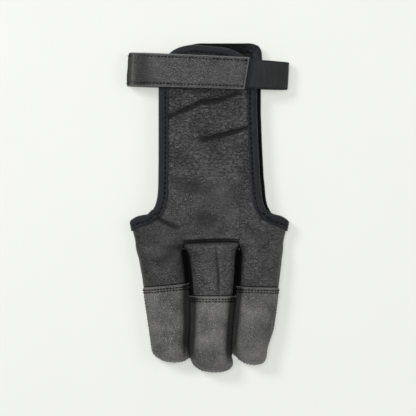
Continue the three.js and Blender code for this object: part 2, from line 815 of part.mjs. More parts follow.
// Half turn of a band at its fold, from the upper run down to the lower run
function foldTurn(side, fold, wall) {
  const radius = (foldHeight - wall) / 2;
  const centre = side * (fold - radius - wall / 2);
  const points = [];
  for (let i = 0; i <= foldSteps; i += 1) {
    const angle = Math.PI * i / foldSteps;
    points.push(new THREE.Vector2(
      centre + side * radius * Math.sin(angle), wall / 2 + radius + radius * Math.cos(angle)));
  }
  return points;
}

function bandEdges(x, width, taper) {
  const middle = strapFromFingers + strapSlope * x;
  const half = (width + taper * x) / 2;
  return { low: middle - half, high: middle + half, lowShift: 0, highShift: 0 };
}

// Path of a closed band: its upper run, the way to the fold, the fold and the lower run on the floor
function closedRun(places, sinkRows, side, fold, wall, end) {
  const edge = wristStripWidth / 2;
  const sinking = sinkRows.map(({ beyond, sink }) => [side * (edge + beyond), stripTop - sink]);
  const upper = [...places, ...sinking].map(([x, z]) => new THREE.Vector2(x, z + wall / 2));
  const lower = [side * edge / 2, end].map((x) => new THREE.Vector2(x, wall / 2));
  return [...upper, ...foldTurn(side, fold, wall), ...lower];
}

function strapGeometry() {
  const places = [
    ...strapFlatShares.map((share) => [share * strapEnd, stripTop + overElastic]),
    ...strapClimbRows.map(({ back, climb }) => [elasticStart - back, stripTop + overElastic * climb]),
  ];
  const end = lowerJoint - clearance;
  const path = closedRun(places, strapSinkRows, -1, strapFold, strapWall, end);
  return bandGeometry(path, strapWall, (x, index) => {
    const edges = bandEdges(x, strapWidth, strapTaper);
    const slant = index === 0 ? strapEndSlant * strapWidth / 2 : 0;
    return { ...edges, lowShift: -slant, highShift: slant };
  });
}

function elasticGeometry() {
  const edge = wristStripWidth / 2;
  const flat = elasticFlatShares.map((share) => [share * edge, stripTop]);
  const places = [[elasticStart, stripTop], ...flat];
  const path = closedRun(places, elasticSinkRows, 1, elasticFold, elasticWall, lowerJoint);
  return bandGeometry(path, elasticWall, (x) => bandEdges(x, elasticWidth, elasticTaper));
}

function hookGeometry() {
  const height = stripTop + elasticWall + clearance + hookWall / 2;
  const end = strapEnd - hookInset;
  const path = [new THREE.Vector2(end, height), new THREE.Vector2(end - hookLength, height)];
  return bandGeometry(path, hookWall, (x) => bandEdges(x, elasticWidth - 2 * hookInset, elasticTaper));
}

function piece(name, geometry, material) {
  const mesh = new THREE.Mesh(geometry, new THREE.MeshStandardMaterial(material));
  mesh.name = name;
  return mesh;
}

const glove = new THREE.Group();
glove.add(piece('front_panel', frontPanelGeometry(), leatherMaterial));
glove.add(piece('middle_finger_panel', middlePanelGeometry(), leatherMaterial));
glove.add(piece('back_panel', backPanelGeometry(), innerLeatherMaterial));
glove.add(piece('left_fourchette',
  fourchetteGeometry(fingers.left, fingers.middle, leftParting), innerLeatherMaterial));
glove.add(piece('right_fourchette',
  fourchetteGeometry(fingers.middle, fingers.right, rightParting), innerLeatherMaterial));
for (const [side, finger] of Object.entries(fingers)) {
  glove.add(piece(`${side}_fingertip_cap`, capGeometry(finger), capMaterial));
}
glove.add(piece('front_binding', stripBindingGeometry('front'), bindingMaterial));
glove.add(piece('back_binding', stripBindingGeometry('back'), bindingMaterial));
glove.add(piece('left_opening_binding', openingBindingGeometry(-1), bindingMaterial));
glove.add(piece('right_opening_binding', openingBindingGeometry(1), bindingMaterial));
glove.add(piece('wrist_strap', strapGeometry(), leatherMaterial));
glove.add(piece('elastic_band', elasticGeometry(), elasticMaterial));
glove.add(piece('hook_patch', hookGeometry(), hookMaterial));

// Origin under the middle of the glove, on the floor
const box = new THREE.Box3().setFromObject(glove, true);
const middle = box.getCenter(new THREE.Vector3());
glove.position.set(-middle.x, -middle.y, -box.min.z);

export default glove;
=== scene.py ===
"""Three-finger leather archery glove lying flat, its wrist strap closed.

Until a piece's mesh is made, places are millimetres in the glove's own plan: x to the right,
y up the hand from the line where the fingers part, z up from the floor.
"""

import math

import bpy
import numpy as np
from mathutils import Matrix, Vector


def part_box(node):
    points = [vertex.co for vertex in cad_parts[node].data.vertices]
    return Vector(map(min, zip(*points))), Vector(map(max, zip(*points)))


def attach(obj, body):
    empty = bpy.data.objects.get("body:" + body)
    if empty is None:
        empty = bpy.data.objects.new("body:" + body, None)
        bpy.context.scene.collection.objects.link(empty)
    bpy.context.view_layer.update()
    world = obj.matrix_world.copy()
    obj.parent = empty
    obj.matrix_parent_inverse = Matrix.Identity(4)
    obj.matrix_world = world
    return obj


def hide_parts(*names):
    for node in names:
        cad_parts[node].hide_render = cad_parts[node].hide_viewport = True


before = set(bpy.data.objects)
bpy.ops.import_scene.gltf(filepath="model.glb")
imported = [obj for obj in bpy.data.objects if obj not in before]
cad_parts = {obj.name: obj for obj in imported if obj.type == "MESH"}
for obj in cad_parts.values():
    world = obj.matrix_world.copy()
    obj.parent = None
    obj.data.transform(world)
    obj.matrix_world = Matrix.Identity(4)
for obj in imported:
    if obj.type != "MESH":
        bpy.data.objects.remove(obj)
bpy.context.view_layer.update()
MM = 0.001
TINY = 1e-6

# Leather and trim thicknesses
LEATHER_WALL = 1.2
CAP_WALL = 1.8
STRAP_WALL = 1.8
ELASTIC_WALL = 1.5
HOOK_WALL = 1.0
TAPE_WALL = 1.0
CLEARANCE = 0.3

# Hand, from the finger line to the rounded end of the wrist strip
HAND_LENGTH = 128.3
KNUCKLE_WIDTH = 101.8
KNUCKLE_HEIGHT = 16.3
HAND_CENTRE = 0.9
WRIST_HEIGHT = 12.6
STRIP_WIDTH = 62.1
SIDE_SEAM_HEIGHT = 6.4
STRIP_SLANT = 0.1
SLANT_START = 0.84
SLANT_SPAN = 0.14
BACK_STRIP_SHIFT = 2.6
BACK_STRIP_EXTRA = 2.2

# Fingers
FINGER_HEIGHT = 15.5
FINGER_SEAM_HEIGHT = 6.4
WEB_LENGTH = 9.0
WEB_START = 2.1
TIP_ROUND = 8.0
CAP_PROUD = 0.65
CAP_LAP = 5.5
TUCK_LENGTH = 0.7
TUCK_DEPTH = CAP_WALL + CLEARANCE - CAP_PROUD
SIDE_ROLL = 1.2
SIDE_TUCK_DELAY = 1.0
FRONT_SEAM_ANGLE = 20
BACK_SEAM_ANGLE = -28
SEAM_GAP_ANGLE = 2

# Half the widest room between fingers that still lean together, and how far they press in
WIDEST_ROOM = 2.2
PRESS = 0.03

# Folded binding. Flares say where along the panels' edge, from 0 on the strip to 1 at the side
# seam: the openings' tapes lap over from one, the strips' tapes and stitches end at the others
BINDING_WIDTH = 6.5
BINDING_OVER = CLEARANCE + TAPE_WALL
BINDING_ROW = 3.3
FOLD_START = 0.7
THREAD_HEIGHT = BINDING_OVER - 0.25
FLOOR_GAP = 0.02
LAP_LIFT = 1.3
LAP_FLARE = 0.22
JOIN_FLARE = 0.32
STRAIGHT_FLARE = 0.8
FRONT_TAPE_FLARE = 0.36
BACK_TAPE_FLARE = JOIN_FLARE - 0.03
STITCH_FLARE = 0.2

# The two loops of the closed wrist strap
STRAP_FROM_FINGERS = 112.3
STRAP_SLOPE = -0.042
STRAP_WIDTH = 21.4
STRAP_TAPER = -0.016
STRAP_END = 25.4
STRAP_END_SLANT = 0.1 * STRAP_WIDTH / 2
BAND_LEAN = 0.06
FOLD_LINE = 4.2
STRAP_FOLD = 53.05
STRAP_ROW = 2.1
ELASTIC_FOLD = 53.1
ELASTIC_WIDTH = 19.9
ELASTIC_TAPER = -0.035
ELASTIC_UNDERLAP = 29.0
FOLD_HEIGHT = 10.6
LOWER_JOINT = 5.0
HOOK_LENGTH = 22.0
HOOK_INSET = 1.6

# Roundness of the cross sections: 2 is an ellipse, more is squarer
TOP_ROUNDNESS = 2.4
BOTTOM_ROUNDNESS = 3.4
BOTTOM_SAG = 0.6

# How closely the meshes are divided
STEP = 0.62
SEAM_GAP = CLEARANCE / 2
FRONT_COLUMNS = (38, 44, 36)
BACK_COLUMNS = 26
CAP_COLUMNS = 96
WEB_COLUMNS = 21
TAPE_COLUMN = 0.6

# Sewing: distance between stitches, length of thread on top and its radius. Rows of the caps
# from their edge and depth of the grooves they pull
BINDING_SEWING = (3.3, 1.9, 0.42)
STRAP_SEWING = (2.25, 1.5, 0.36)
CAP_SEWING = (2.05, 1.15, 0.42)
INSERT_SEWING = (1.85, 0.95, 0.42)
CAP_ROWS = (1.95, 3.6)
SEWING_DIP = 0.22

# Light of the room and of the paper
ROOM_LIGHT = 0.22
PAPER_GLOW = 0.405

# Camera: width and drop of the picture in millimetres, the others in metres but the sensor's
PICTURE_WIDTH = 273.14
PICTURE_DROP = 0.23
CAMERA_HEIGHT = 1.6
SENSOR = 36.0
VIEW_PLANE = 0.010


class Table:
    """Rows of named columns, read along the first one on a smooth curve."""

    def __init__(self, columns, rows):
        self.values = dict(zip(columns.split(), np.array(rows, float).T))
        self.along = self.values["along"]
        self.slopes = {name: self._slopes(values) for name, values in self.values.items()}

    def _slopes(self, values):
        chords = np.diff(values) / np.diff(self.along)
        product = chords[:-1] * chords[1:]
        total = np.where(product > 0, chords[:-1] + chords[1:], 1)
        inner = np.where(product > 0, 2 * product / total, 0)
        return np.concatenate([chords[:1], inner, chords[-1:]])

    def at(self, column, along):
        xs, ys, slopes = self.along, self.values[column], self.slopes[column]
        place = np.clip(along, xs[0], xs[-1])
        low = np.clip(np.searchsorted(xs, place) - 1, 0, len(xs) - 2)
        span = xs[low + 1] - xs[low]
        t = (place - xs[low]) / span
        s = smooth_step(t)
        curve = (1 - s) * ys[low] + s * ys[low + 1]
        return curve + span * t * (1 - t) * ((1 - t) * slopes[low] - t * slopes[low + 1])


def smooth_step(value):
    t = np.clip(value, 0, 1)
    return t * t * (3 - 2 * t)


def bump(value):
    """1 at zero, falling softly to 0 on both sides."""
    return np.exp(-np.square(value))


def round_share(share, roundness):
    return (1 - np.minimum(np.abs(share), 1) ** roundness) ** (1 / roundness)


def unit(vectors):
    """The same directions, all one long."""
    return vectors / np.maximum(np.linalg.norm(vectors, axis=-1), TINY)[..., None]


def wrist_share(y):
    """0 on the knuckles, 1 on the wrist."""
    return smooth_step((y - 20) / 34)


# Sections of the hand, as shares of its length, half width, height and side seam height
HAND = Table("along half rise seam", [
    (-0.10, 0.950, 0.80, 1.00), (0.000, 0.955, 0.82, 1.00), (0.070, 0.990, 0.97, 1.00),
    (0.110, 1.000, 1.00, 1.00), (0.200, 0.970, 0.90, 0.98), (0.350, 0.920, 0.56, 0.93),
    (0.500, 0.890, 0.28, 0.90), (0.750, 0.870, 0.03, 0.90), (1.020, 0.870, -0.06, 0.90),
])

# Edge of the panels. strip: share of half the strip's width. flare: 1 at the side seam.
# shift: lean of the strip's centre line. corner: how far the back's right corner stands out.
EDGE = Table("along strip flare shift corner", [
    (along, 1.040, flare, 0.018, 0) for along, flare in (
        (0.101, 1.00), (0.103, 0.985), (0.108, 0.93), (0.114, 0.87), (0.121, 0.77), (0.131, 0.60),
        (0.140, 0.44), (0.146, 0.37), (0.154, 0.29), (0.163, 0.235), (0.190, 0.13), (0.225, 0.06),
        (0.273, 0.02))
] + [
    (along, strip, 0, shift, corner) for along, strip, shift, corner in (
        (0.340, 1.032, 0.012, 0), (0.415, 1.022, 0.009, 0), (0.490, 1.014, 0.005, 0),
        (0.565, 1.008, 0.002, 0), (0.620, 1.004, 0.000, 0), (0.670, 1.000, -0.002, 0),
        (0.760, 1.000, -0.002, 0), (0.838, 1.000, -0.002, 0), (0.885, 0.965, 0.000, 0.03),
        (0.924, 0.890, 0.004, 0.10), (0.959, 0.760, 0.010, 0.21), (0.984, 0.580, 0.015, 0.33),
        (1.000, 0.350, 0.015, 0.42))
])

# Height of the back over the floor, as shares of what lies under it
BACK_LIFT = Table("along binding strap", [
    (0.060, 0, 0), (0.115, 1, 0), (0.620, 1, 0), (0.740, 1, 1), (1.020, 1, 1),
])


class Finger:
    """One finger: centre and width at the finger line, lengths, and shares of them along it."""

    def __init__(self, name, base, width, length, cap_length, lean, sections):
        self.name, self.base, self.width = name, base, width
        self.length, self.cap_edge = length, length - cap_length
        self.lean = math.tan(math.radians(lean))
        self.sections = Table("along width drift", sections)
        self.room = {-1: None, 1: None}

    def side_line(self, side, distance):
        """Left or right edge of the finger in plan: x, and distance down from the finger line."""
        along = distance / self.length
        tip_share = np.clip((distance - self.length + TIP_ROUND) / TIP_ROUND, 0, 1)
        half = self.sections.at("width", along) * self.width / 2
        half = half * round_share(tip_share, TOP_ROUNDNESS)
        x = self.base + self.sections.at("drift", along) * self.width + side * half
        return x, distance - self.lean * side * half * (1 - np.minimum(along, 1) ** 2)

    def lean_on(self, neighbour, side):
        """Notes half the room up to the neighbour, which the lower half of the side fills."""
        distance = np.linspace(0, 90, 361)
        x, down = self.side_line(side, distance)
        other_x, other_down = neighbour.side_line(-side, distance)
        room = side * (np.interp(down, other_down, other_x) - x) / 2
        self.room[side] = distance, room * smooth_step((WIDEST_ROOM - room) / 0.8)

    def room_at(self, side, distance, proud):
        """How far the side may still move for a piece that already stands proud."""
        if self.room[side] is None:
            return 0 * distance
        return np.maximum(np.interp(distance, *self.room[side]) - proud + PRESS, 0)


LEFT = Finger("left", -31.8, 30.6, 77.6, 50.0, 6, [
    (0.00, 1.00, 0.00), (0.33, 0.96, 0.125), (0.70, 0.83, 0.190),
    (0.89, 0.75, 0.215), (1.00, 0.74, 0.320),
])
MIDDLE = Finger("middle", 2.3, 36.0, 84.1, 49.6, 0, [
    (0.00, 1.00, 0.00), (0.30, 0.85, 0.030), (0.65, 0.73, 0.000),
    (0.83, 0.73, -0.025), (1.00, 0.73, 0.060),
])
RIGHT = Finger("right", 35.4, 28.6, 79.2, 50.6, -2, [
    (0.00, 1.00, 0.00), (0.33, 0.94, -0.075), (0.69, 0.90, -0.185),
    (0.88, 0.77, -0.272), (0.95, 0.68, -0.230), (1.00, 0.64, -0.170),
])

LEFT.lean_on(MIDDLE, 1)
MIDDLE.lean_on(LEFT, -1)
MIDDLE.lean_on(RIGHT, 1)
RIGHT.lean_on(MIDDLE, -1)

# The middle fingertip is the glove's lowest place in plan, so it tells where the frame lies
TIP_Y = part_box("middle_fingertip_cap")[0].y / MM
PLAN_SHIFT = np.array([0, TIP_Y + MIDDLE.length + CAP_PROUD, 0])

# Folds of the front: points along each, half width, depth (below 0 a crease) and how much
# more its upper side stands out than its lower one
CREASES = [
    ([(-30, 79), (-25, 82.5), (-16, 86.5), (-4, 92), (8, 93.5), (21, 98)], 1.9, -1.6, 0.9),
    ([(-26, 95), (-14, 97.5)], 1.5, -0.5, 0.5),
    ([(-12, 99.5), (-2, 93.5)], 1.4, -0.45, 0.5),
    ([(-6, 66.5), (10, 70.5), (25, 75), (31, 78)], 1.8, -1.6, 0.9),
    ([(-30, 75), (-18, 70), (-8, 62)], 3.0, -0.5, 0.5),
    ([(4.5, 64.5), (9.5, 54)], 1.4, -0.6, -0.5),
    ([(-20, 73), (-6, 66)], 1.6, -0.3, 0.4),
    ([(-35, 17.5), (-29.5, 14), (-20, 9)], 1.3, -1.2, 0.7),
    ([(-15, -1), (-24, -7), (-33, -15)], 4.0, -1.9, 0.3),
    ([(-27, -4), (-40, 4)], 6.0, 0.6, 0),
    ([(5.7, -3), (6.8, -17), (7.8, -33.5)], 1.1, -0.95, -0.9),
    ([(-7, 15), (6, 14)], 5.5, -1.3, 0),
    ([(24, 9), (37, 3)], 4.5, -1.3, 0.2),
    ([(30, -4), (33, -22)], 5.0, 0.5, 0),
    ([(-26, 41), (-10, 38), (6, 35)], 5.0, -1.5, 0),
    ([(-27, 57), (-15, 54.5), (-5, 52)], 3.4, -1.4, 0.2),
    ([(-6, 47), (20, 51)], 5.0, 0.5, 0),
]


# Creases at least this wide are soft hollows, and how much painted shade these get for their depth
BROAD_CREASE = 2.9
BROAD_SHADE = 0.45

# Drawn mark of the middle and right finger: it strengthens the wrinkle lines and lightens the
# leather
FINGER_DRAWN = 0.62


class Hills:
    """Soft random hills and hollows between -1 and 1, of one size, the same on each run."""

    def __init__(self, seed, size_x, size_y=None, turn=0.0):
        self.heights = np.random.default_rng(seed).uniform(-1, 1, (89, 89))
        self.size = size_x, size_y or size_x
        self.turn = math.cos(math.radians(turn)), math.sin(math.radians(turn))

    def at(self, x, y):
        cosine, sine = self.turn
        u = (x * cosine + y * sine) / self.size[0]
        v = (y * cosine - x * sine) / self.size[1]
        i, j = np.floor(u).astype(int), np.floor(v).astype(int)
        s, t = smooth_step(u - i), smooth_step(v - j)
        n = len(self.heights)
        low, high = (self.heights[i % n, row % n] * (1 - s) + self.heights[(i + 1) % n, row % n] * s
                     for row in (j, j + 1))
        return low * (1 - t) + high * t


BROAD_HILLS = Hills(3, 15.0)
SMALL_HILLS = Hills(5, 6.0)
WRINKLES = [Hills(11, 7.0, 1.9, 24), Hills(12, 6.0, 1.6, -32), Hills(13, 5.0, 1.9, 0),
            Hills(14, 4.0, 1.6, 62)]
WRINKLE_PATCHES = Hills(17, 13.0)
TAPE_HILLS = Hills(21, 7.0, 3.0)
CAP_HILLS = Hills(31, 12.0, 17.0)


def crease_rise(x, y, creases=CREASES):
    """Height that the creases add at places of the front."""
    rise = np.zeros(np.broadcast(x, y).shape)
    for points, width, depth, skew in creases:
        nearest, side, travelled = np.full(rise.shape, np.inf), rise * 0, rise * 0
        before = 0.0
        for (x1, y1), (x2, y2) in zip(points, points[1:]):
            dx, dy = x2 - x1, y2 - y1
            length = math.hypot(dx, dy)
            share = np.clip(((x - x1) * dx + (y - y1) * dy) / length**2, 0, 1)
            off_x, off_y = x - x1 - share * dx, y - y1 - share * dy
            distance = np.hypot(off_x, off_y)
            closer = distance < nearest
            nearest = np.where(closer, distance, nearest)
            side = np.where(closer, (off_y * dx - off_x * dy) / length, side)
            travelled = np.where(closer, before + share * length, travelled)
            before += length
        fade = 0.3 + 0.7 * np.sqrt(np.abs(np.sin(math.pi * travelled / before)))
        rise += depth * fade * bump(nearest / width) * (1 + skew * side / width)
    return rise


def crease_shade(points):
    """Painted shade in the creases of the front: how deep places lie in them, up to 1. Broad
    hollows count less.
    """
    x, y = points[..., 0], points[..., 1]
    sharp = [crease for crease in CREASES if crease[1] < BROAD_CREASE]
    broad = [crease for crease in CREASES if crease[1] >= BROAD_CREASE]
    depth = -crease_rise(x, y, sharp) - BROAD_SHADE * crease_rise(x, y, broad)
    return np.clip(depth - 0.15, 0, 1)


def drawn_share(points):
    """Drawn mark of the front, which strengthens wrinkle lines and lightens the leather: most on
    the wrist, less towards the left finger.
    """
    x, y = points[..., 0], points[..., 1]
    return np.maximum(wrist_share(y), FINGER_DRAWN * smooth_step((x - 6) / 16))


def insert_seam_rise(x, y):
    """Rolled edge over the middle finger's insert, and the hollow under it."""
    left, right = MIDDLE.base - MIDDLE.width / 2, MIDDLE.base + MIDDLE.width / 2
    within = smooth_step((x - left + 1) / 4) * smooth_step((right + 1 - x) / 4)
    roll = 0.75 * bump((y - 2.2) / 1.4)
    hollow = 1.1 * bump((y + 0.7) / 1.9) + 0.5 * bump((y + 3) / 5)
    return within * (roll - hollow)


def front_relief(x, y):
    """Folds, wrinkles and soft hills of the front's leather."""
    puffs = np.minimum.reduce([np.abs(hills.at(x, y)) for hills in WRINKLES])
    patch = 0.6 + 0.4 * WRINKLE_PATCHES.at(x, y)
    hills = 0.42 * BROAD_HILLS.at(x, y) + 0.2 * SMALL_HILLS.at(x, y)
    wrinkles = (0.12 + 1.1 * wrist_share(y)) * patch * np.minimum(puffs, 0.35)
    return crease_rise(x, y) + insert_seam_rise(x, y) + hills + wrinkles


def hand_half(y):
    return HAND.at("half", y / HAND_LENGTH) * KNUCKLE_WIDTH / 2


def back_height(along):
    under_binding = BACK_LIFT.at("binding", along) * BINDING_OVER
    return under_binding + BACK_LIFT.at("strap", along) * (STRAP_WALL + CLEARANCE)


def hand_point(y, across, face, offset=0.0):
    """Places on the hand's skin. across: -1 left side seam to 1 right. offset: outwards."""
    along = y / HAND_LENGTH
    seam = HAND.at("seam", along) * SIDE_SEAM_HEIGHT
    x = HAND_CENTRE + (hand_half(y) + offset) * across
    if face == "front":
        top = WRIST_HEIGHT + (KNUCKLE_HEIGHT - WRIST_HEIGHT) * HAND.at("rise", along)
        dome = (top - seam + offset) * round_share(across, TOP_ROUNDNESS)
        z = seam + dome + round_share(across, TOP_ROUNDNESS) * front_relief(x, y)
    else:
        floor = back_height(along)
        bowl = (seam - floor + BOTTOM_SAG + offset) * round_share(across, BOTTOM_ROUNDNESS)
        z = np.maximum(seam - bowl, floor - offset)
    return np.stack(np.broadcast_arrays(x, y, z), -1)


def skin_height(x, y, face):
    return hand_point(y, (x - HAND_CENTRE) / hand_half(y), face)[..., 2]


def stall_point(finger, distance, angle, offset=0.0, dents=0.0, proud=0.0):
    """Places on a finger's skin. angle: 0 right, 90 top, 180 left, 270 bottom."""
    along = distance / finger.length
    round_start = finger.length - TIP_ROUND
    tip_share = np.maximum(distance - round_start, 0) / (finger.length + offset - round_start)
    rounding = round_share(tip_share, TOP_ROUNDNESS)
    width = finger.sections.at("width", along) * finger.width
    half = (width / 2 + offset) * rounding
    cosine, sine = np.cos(np.radians(angle)), np.sin(np.radians(angle))
    is_top = sine >= 0
    power = 2 / np.where(is_top, TOP_ROUNDNESS, BOTTOM_ROUNDNESS)
    low_half = FINGER_SEAM_HEIGHT + BOTTOM_SAG + offset
    top_half = FINGER_HEIGHT - FINGER_SEAM_HEIGHT + offset
    aside = half * np.sign(cosine) * np.abs(cosine) ** power
    rise = np.where(is_top, top_half, -low_half) * rounding * np.abs(sine) ** power
    x = finger.base + finger.sections.at("drift", along) * finger.width + aside
    y = finger.lean * aside * (1 - np.minimum(along, 1) ** 2) - distance
    calm = np.where(is_top, np.abs(sine), 0) * rounding
    z = np.maximum(FINGER_SEAM_HEIGHT + rise, np.maximum(-offset, 0))
    low_side = smooth_step((11.5 - z) / 5) * smooth_step((np.abs(cosine) - 0.35) / 0.5)
    x = x + low_side * np.where(cosine > 0, finger.room_at(1, distance, proud),
                                -finger.room_at(-1, distance, proud))
    return np.stack(np.broadcast_arrays(x, y, z + calm * (front_relief(x, y) + dents)), -1)


def skin_point(finger, distance, across, angle, face, offset=0.0):
    """Places where a finger's skin grows out of the hand's skin over the web's length."""
    share = smooth_step(distance / WEB_LENGTH)[..., None]
    on_hand = hand_point(-distance, across, face, offset)
    return on_hand * (1 - share) + stall_point(finger, distance, angle, offset) * share


def parting_across(left_finger, right_finger):
    """Place across the hand where two neighbouring fingers part."""
    left_edge = left_finger.base + left_finger.width / 2
    right_edge = right_finger.base - right_finger.width / 2
    return ((left_edge + right_edge) / 2 - HAND_CENTRE) / hand_half(0.0)


LEFT_PARTING = parting_across(LEFT, MIDDLE)
RIGHT_PARTING = parting_across(MIDDLE, RIGHT)
PARTING_GAP = CLEARANCE / KNUCKLE_WIDTH


def columns_over(count, start_across, end_across, start_angle, end_angle):
    """Columns over one finger: their places across the hand and angles on the finger."""
    ends = np.array([start_across, end_across])
    turns = np.arccos(np.sign(ends) * np.abs(ends) ** (TOP_ROUNDNESS / 2))
    cosine = np.cos(np.linspace(*turns, count + 1))
    across = np.sign(cosine) * np.abs(cosine) ** (2 / TOP_ROUNDNESS)
    return across, np.linspace(start_angle, end_angle, count + 1)


def seam_tilt(points):
    """The seam over the insert climbs to the right, so leather near it moves up with it."""
    x, y = points[..., 0], points[..., 1]
    near = bump((x - MIDDLE.base) / 26) * bump(y / 12)
    tilted = points.copy()
    tilted[..., 1] += near * np.clip(0.6 + 0.04 * (x + 16.7), 0, 2.2)
    return tilted


class Wall:
    """A closed wall: outer and inner skins of matching points, joined all round their rim."""

    # Marks for the materials, painted shade among them
    MARKS = ("edge", "groove", "drawn", "run", "across")

    def __init__(self):
        self.outer, self.inner, self.faces, self.count = [], [], [], 0
        self.marks = {name: [] for name in self.MARKS}

    def rows(self, outer, inner, **marks):
        """Adds rows of points and returns their numbers."""
        shape = outer.shape[:2]
        self.outer.append(outer.reshape(-1, 3))
        self.inner.append(inner.reshape(-1, 3))
        for name in self.MARKS:
            self.marks[name].append(np.broadcast_to(marks.get(name, 0.0), shape).ravel())
        numbers = np.arange(self.count, self.count + shape[0] * shape[1]).reshape(shape)
        self.count += numbers.size
        return numbers

    def fill(self, numbers, closed=False):
        """Joins neighbouring rows of numbered points with faces."""
        if closed:
            numbers = np.hstack([numbers, numbers[:, :1]])
        a, b, c, d = numbers[:-1, :-1], numbers[:-1, 1:], numbers[1:, 1:], numbers[1:, :-1]
        self.faces += np.stack([a, b, c, d], -1).reshape(-1, 4).tolist()

    def close(self, row, tip):
        """Joins a ring of points to one point."""
        self.faces += [[a, b, tip] for a, b in zip(row, np.roll(row, -1))]

    def rim(self):
        ends = [(f[i], f[(i + 1) % len(f)]) for f in self.faces for i in range(len(f))]
        known = set(ends)
        return [(a, b) for a, b in ends if (b, a) not in known]

    def piece(self, name, finish):
        n = self.count
        faces = self.faces + [[v + n for v in reversed(f)] for f in self.faces]
        faces += [[a, a + n, b + n, b] for a, b in self.rim()]
        points = np.concatenate(self.outer + self.inner)
        if volume_sign(points, faces) < 0:
            faces = [f[::-1] for f in faces]
        marks = {key: np.concatenate(parts * 2) for key, parts in self.marks.items()}
        return make_piece(name, points, faces, finish, marks)


def sheet(name, finish, outer, inner, **marks):
    """Piece of one wall without branches."""
    wall = Wall()
    wall.fill(wall.rows(outer, inner, **marks))
    return wall.piece(name, finish)


def volume_sign(points, faces):
    total = 0.0
    for corners in {len(f) for f in faces}:
        group = np.array([f for f in faces if len(f) == corners])
        first = points[group[:, 0]]
        for i in range(1, corners - 1):
            cross = np.cross(points[group[:, i]], points[group[:, i + 1]])
            total += float((first * cross).sum())
    return total


def add_object(name, data):
    made = bpy.data.objects.new(name, data)
    bpy.context.scene.collection.objects.link(made)
    return made


def make_piece(name, points, faces, finish, marks):
    """Mesh object in metres in the frame, with its marks as attributes."""
    mesh = bpy.data.meshes.new(name)
    mesh.from_pydata(((points + PLAN_SHIFT) * MM).tolist(), [], faces)
    for key, values in marks.items():
        attribute = mesh.attributes.new(key, "FLOAT", "POINT")
        attribute.data.foreach_set("value", values.astype(np.float32))
    mesh.shade_smooth()
    mesh.set_sharp_from_angle(angle=math.radians(55))
    mesh.materials.append(finish)
    return add_object(name, mesh)


def evenly(points, step):
    """The same path with points an even step apart."""
    points = np.asarray(points, float)
    way = travelled(points)
    places = np.linspace(0, way[-1], int(round(way[-1] / step)) + 1)
    return np.stack([np.interp(places, way, column) for column in points.T], -1)


def softened(points, rounds):
    """The same path with its corners eased, its ends kept."""
    points = points.copy()
    for _ in range(rounds):
        points[1:-1] = (points[:-2] + 2 * points[1:-1] + points[2:]) / 4
    return points


def travelled(points):
    lengths = np.linalg.norm(np.diff(points, axis=0), axis=1)
    return np.concatenate([[0], np.cumsum(lengths)])


def edge_at(along, face):
    """Edge of a panel: its height up the hand, left and right x, and the hand's half width."""
    flare, strip = EDGE.at("flare", along), EDGE.at("strip", along) * STRIP_WIDTH / 2
    back = face == "back"
    y = along * (HAND_LENGTH + (BACK_STRIP_EXTRA * (1 - flare) if back else 0))
    half = hand_half(y)
    shift = EDGE.at("shift", along) * STRIP_WIDTH + (BACK_STRIP_SHIFT if back else 0)
    corner = EDGE.at("corner", along) * STRIP_WIDTH / 2 if back else 0
    reach = strip + (half - strip) * flare
    centre = shift + (HAND_CENTRE - shift) * flare
    return y, centre - reach, centre + reach + corner, half


def slant_at(along, x, face):
    if face == "back":
        return 0 * x
    return -STRIP_SLANT * x * smooth_step((along - SLANT_START) / SLANT_SPAN)


def panel_alongs(face):
    """Rows of a panel from the strip's end down to the side seam, evenly apart at the edge."""
    along = np.linspace(EDGE.along[-1], EDGE.along[0], 3000)
    y, left, _, _ = edge_at(along, face)
    way = travelled(np.stack([left, y], -1))
    places = np.linspace(0, way[-1], int(way[-1] / STEP))
    return np.interp(places, way, along)


def panel_rows(along, across, face, offset):
    along = along[:, None]
    y, left, right, half = edge_at(along, face)
    x = left + (right - left) * (across + 1) / 2
    return hand_point(y + slant_at(along, x, face), (x - HAND_CENTRE) / half, face, offset)


def knuckle_rows(face, across, offset):
    """Rows from the side seam's start down to the finger line."""
    start = EDGE.along[0] * HAND_LENGTH
    y = np.linspace(start, SEAM_GAP, int(start / STEP) + 1)[1:, None]
    return hand_point(y, across, face, offset)


def sleeve_distances(finger, start):
    return np.linspace(start, finger.cap_edge + CAP_LAP,
                       int((finger.cap_edge + CAP_LAP - start) / STEP) + 1)[:, None]


def sleeve_tuck(finger, distance, late=0.0):
    """How deep a sleeve dives where it goes under its cap. late: how much later it starts."""
    return TUCK_DEPTH * smooth_step((distance - late - finger.cap_edge + TUCK_LENGTH)
                                    / (TUCK_LENGTH - CLEARANCE))


def edge_roll(count, depth, columns=2.2):
    """Offsets that roll the first and last columns inwards, as at a turned seam."""
    place = np.arange(count)
    return -depth * (bump(place / columns) + bump((count - 1 - place) / columns))


def valley_edge_shade(count, sides, columns=5.0):
    """Painted shade on a sleeve's first and last columns, where they turn down into a valley."""
    place = np.arange(count)
    first, last = bump(place / columns), bump((count - 1 - place) / columns)
    return 0.85 * (sides[0] * first + sides[1] * last)


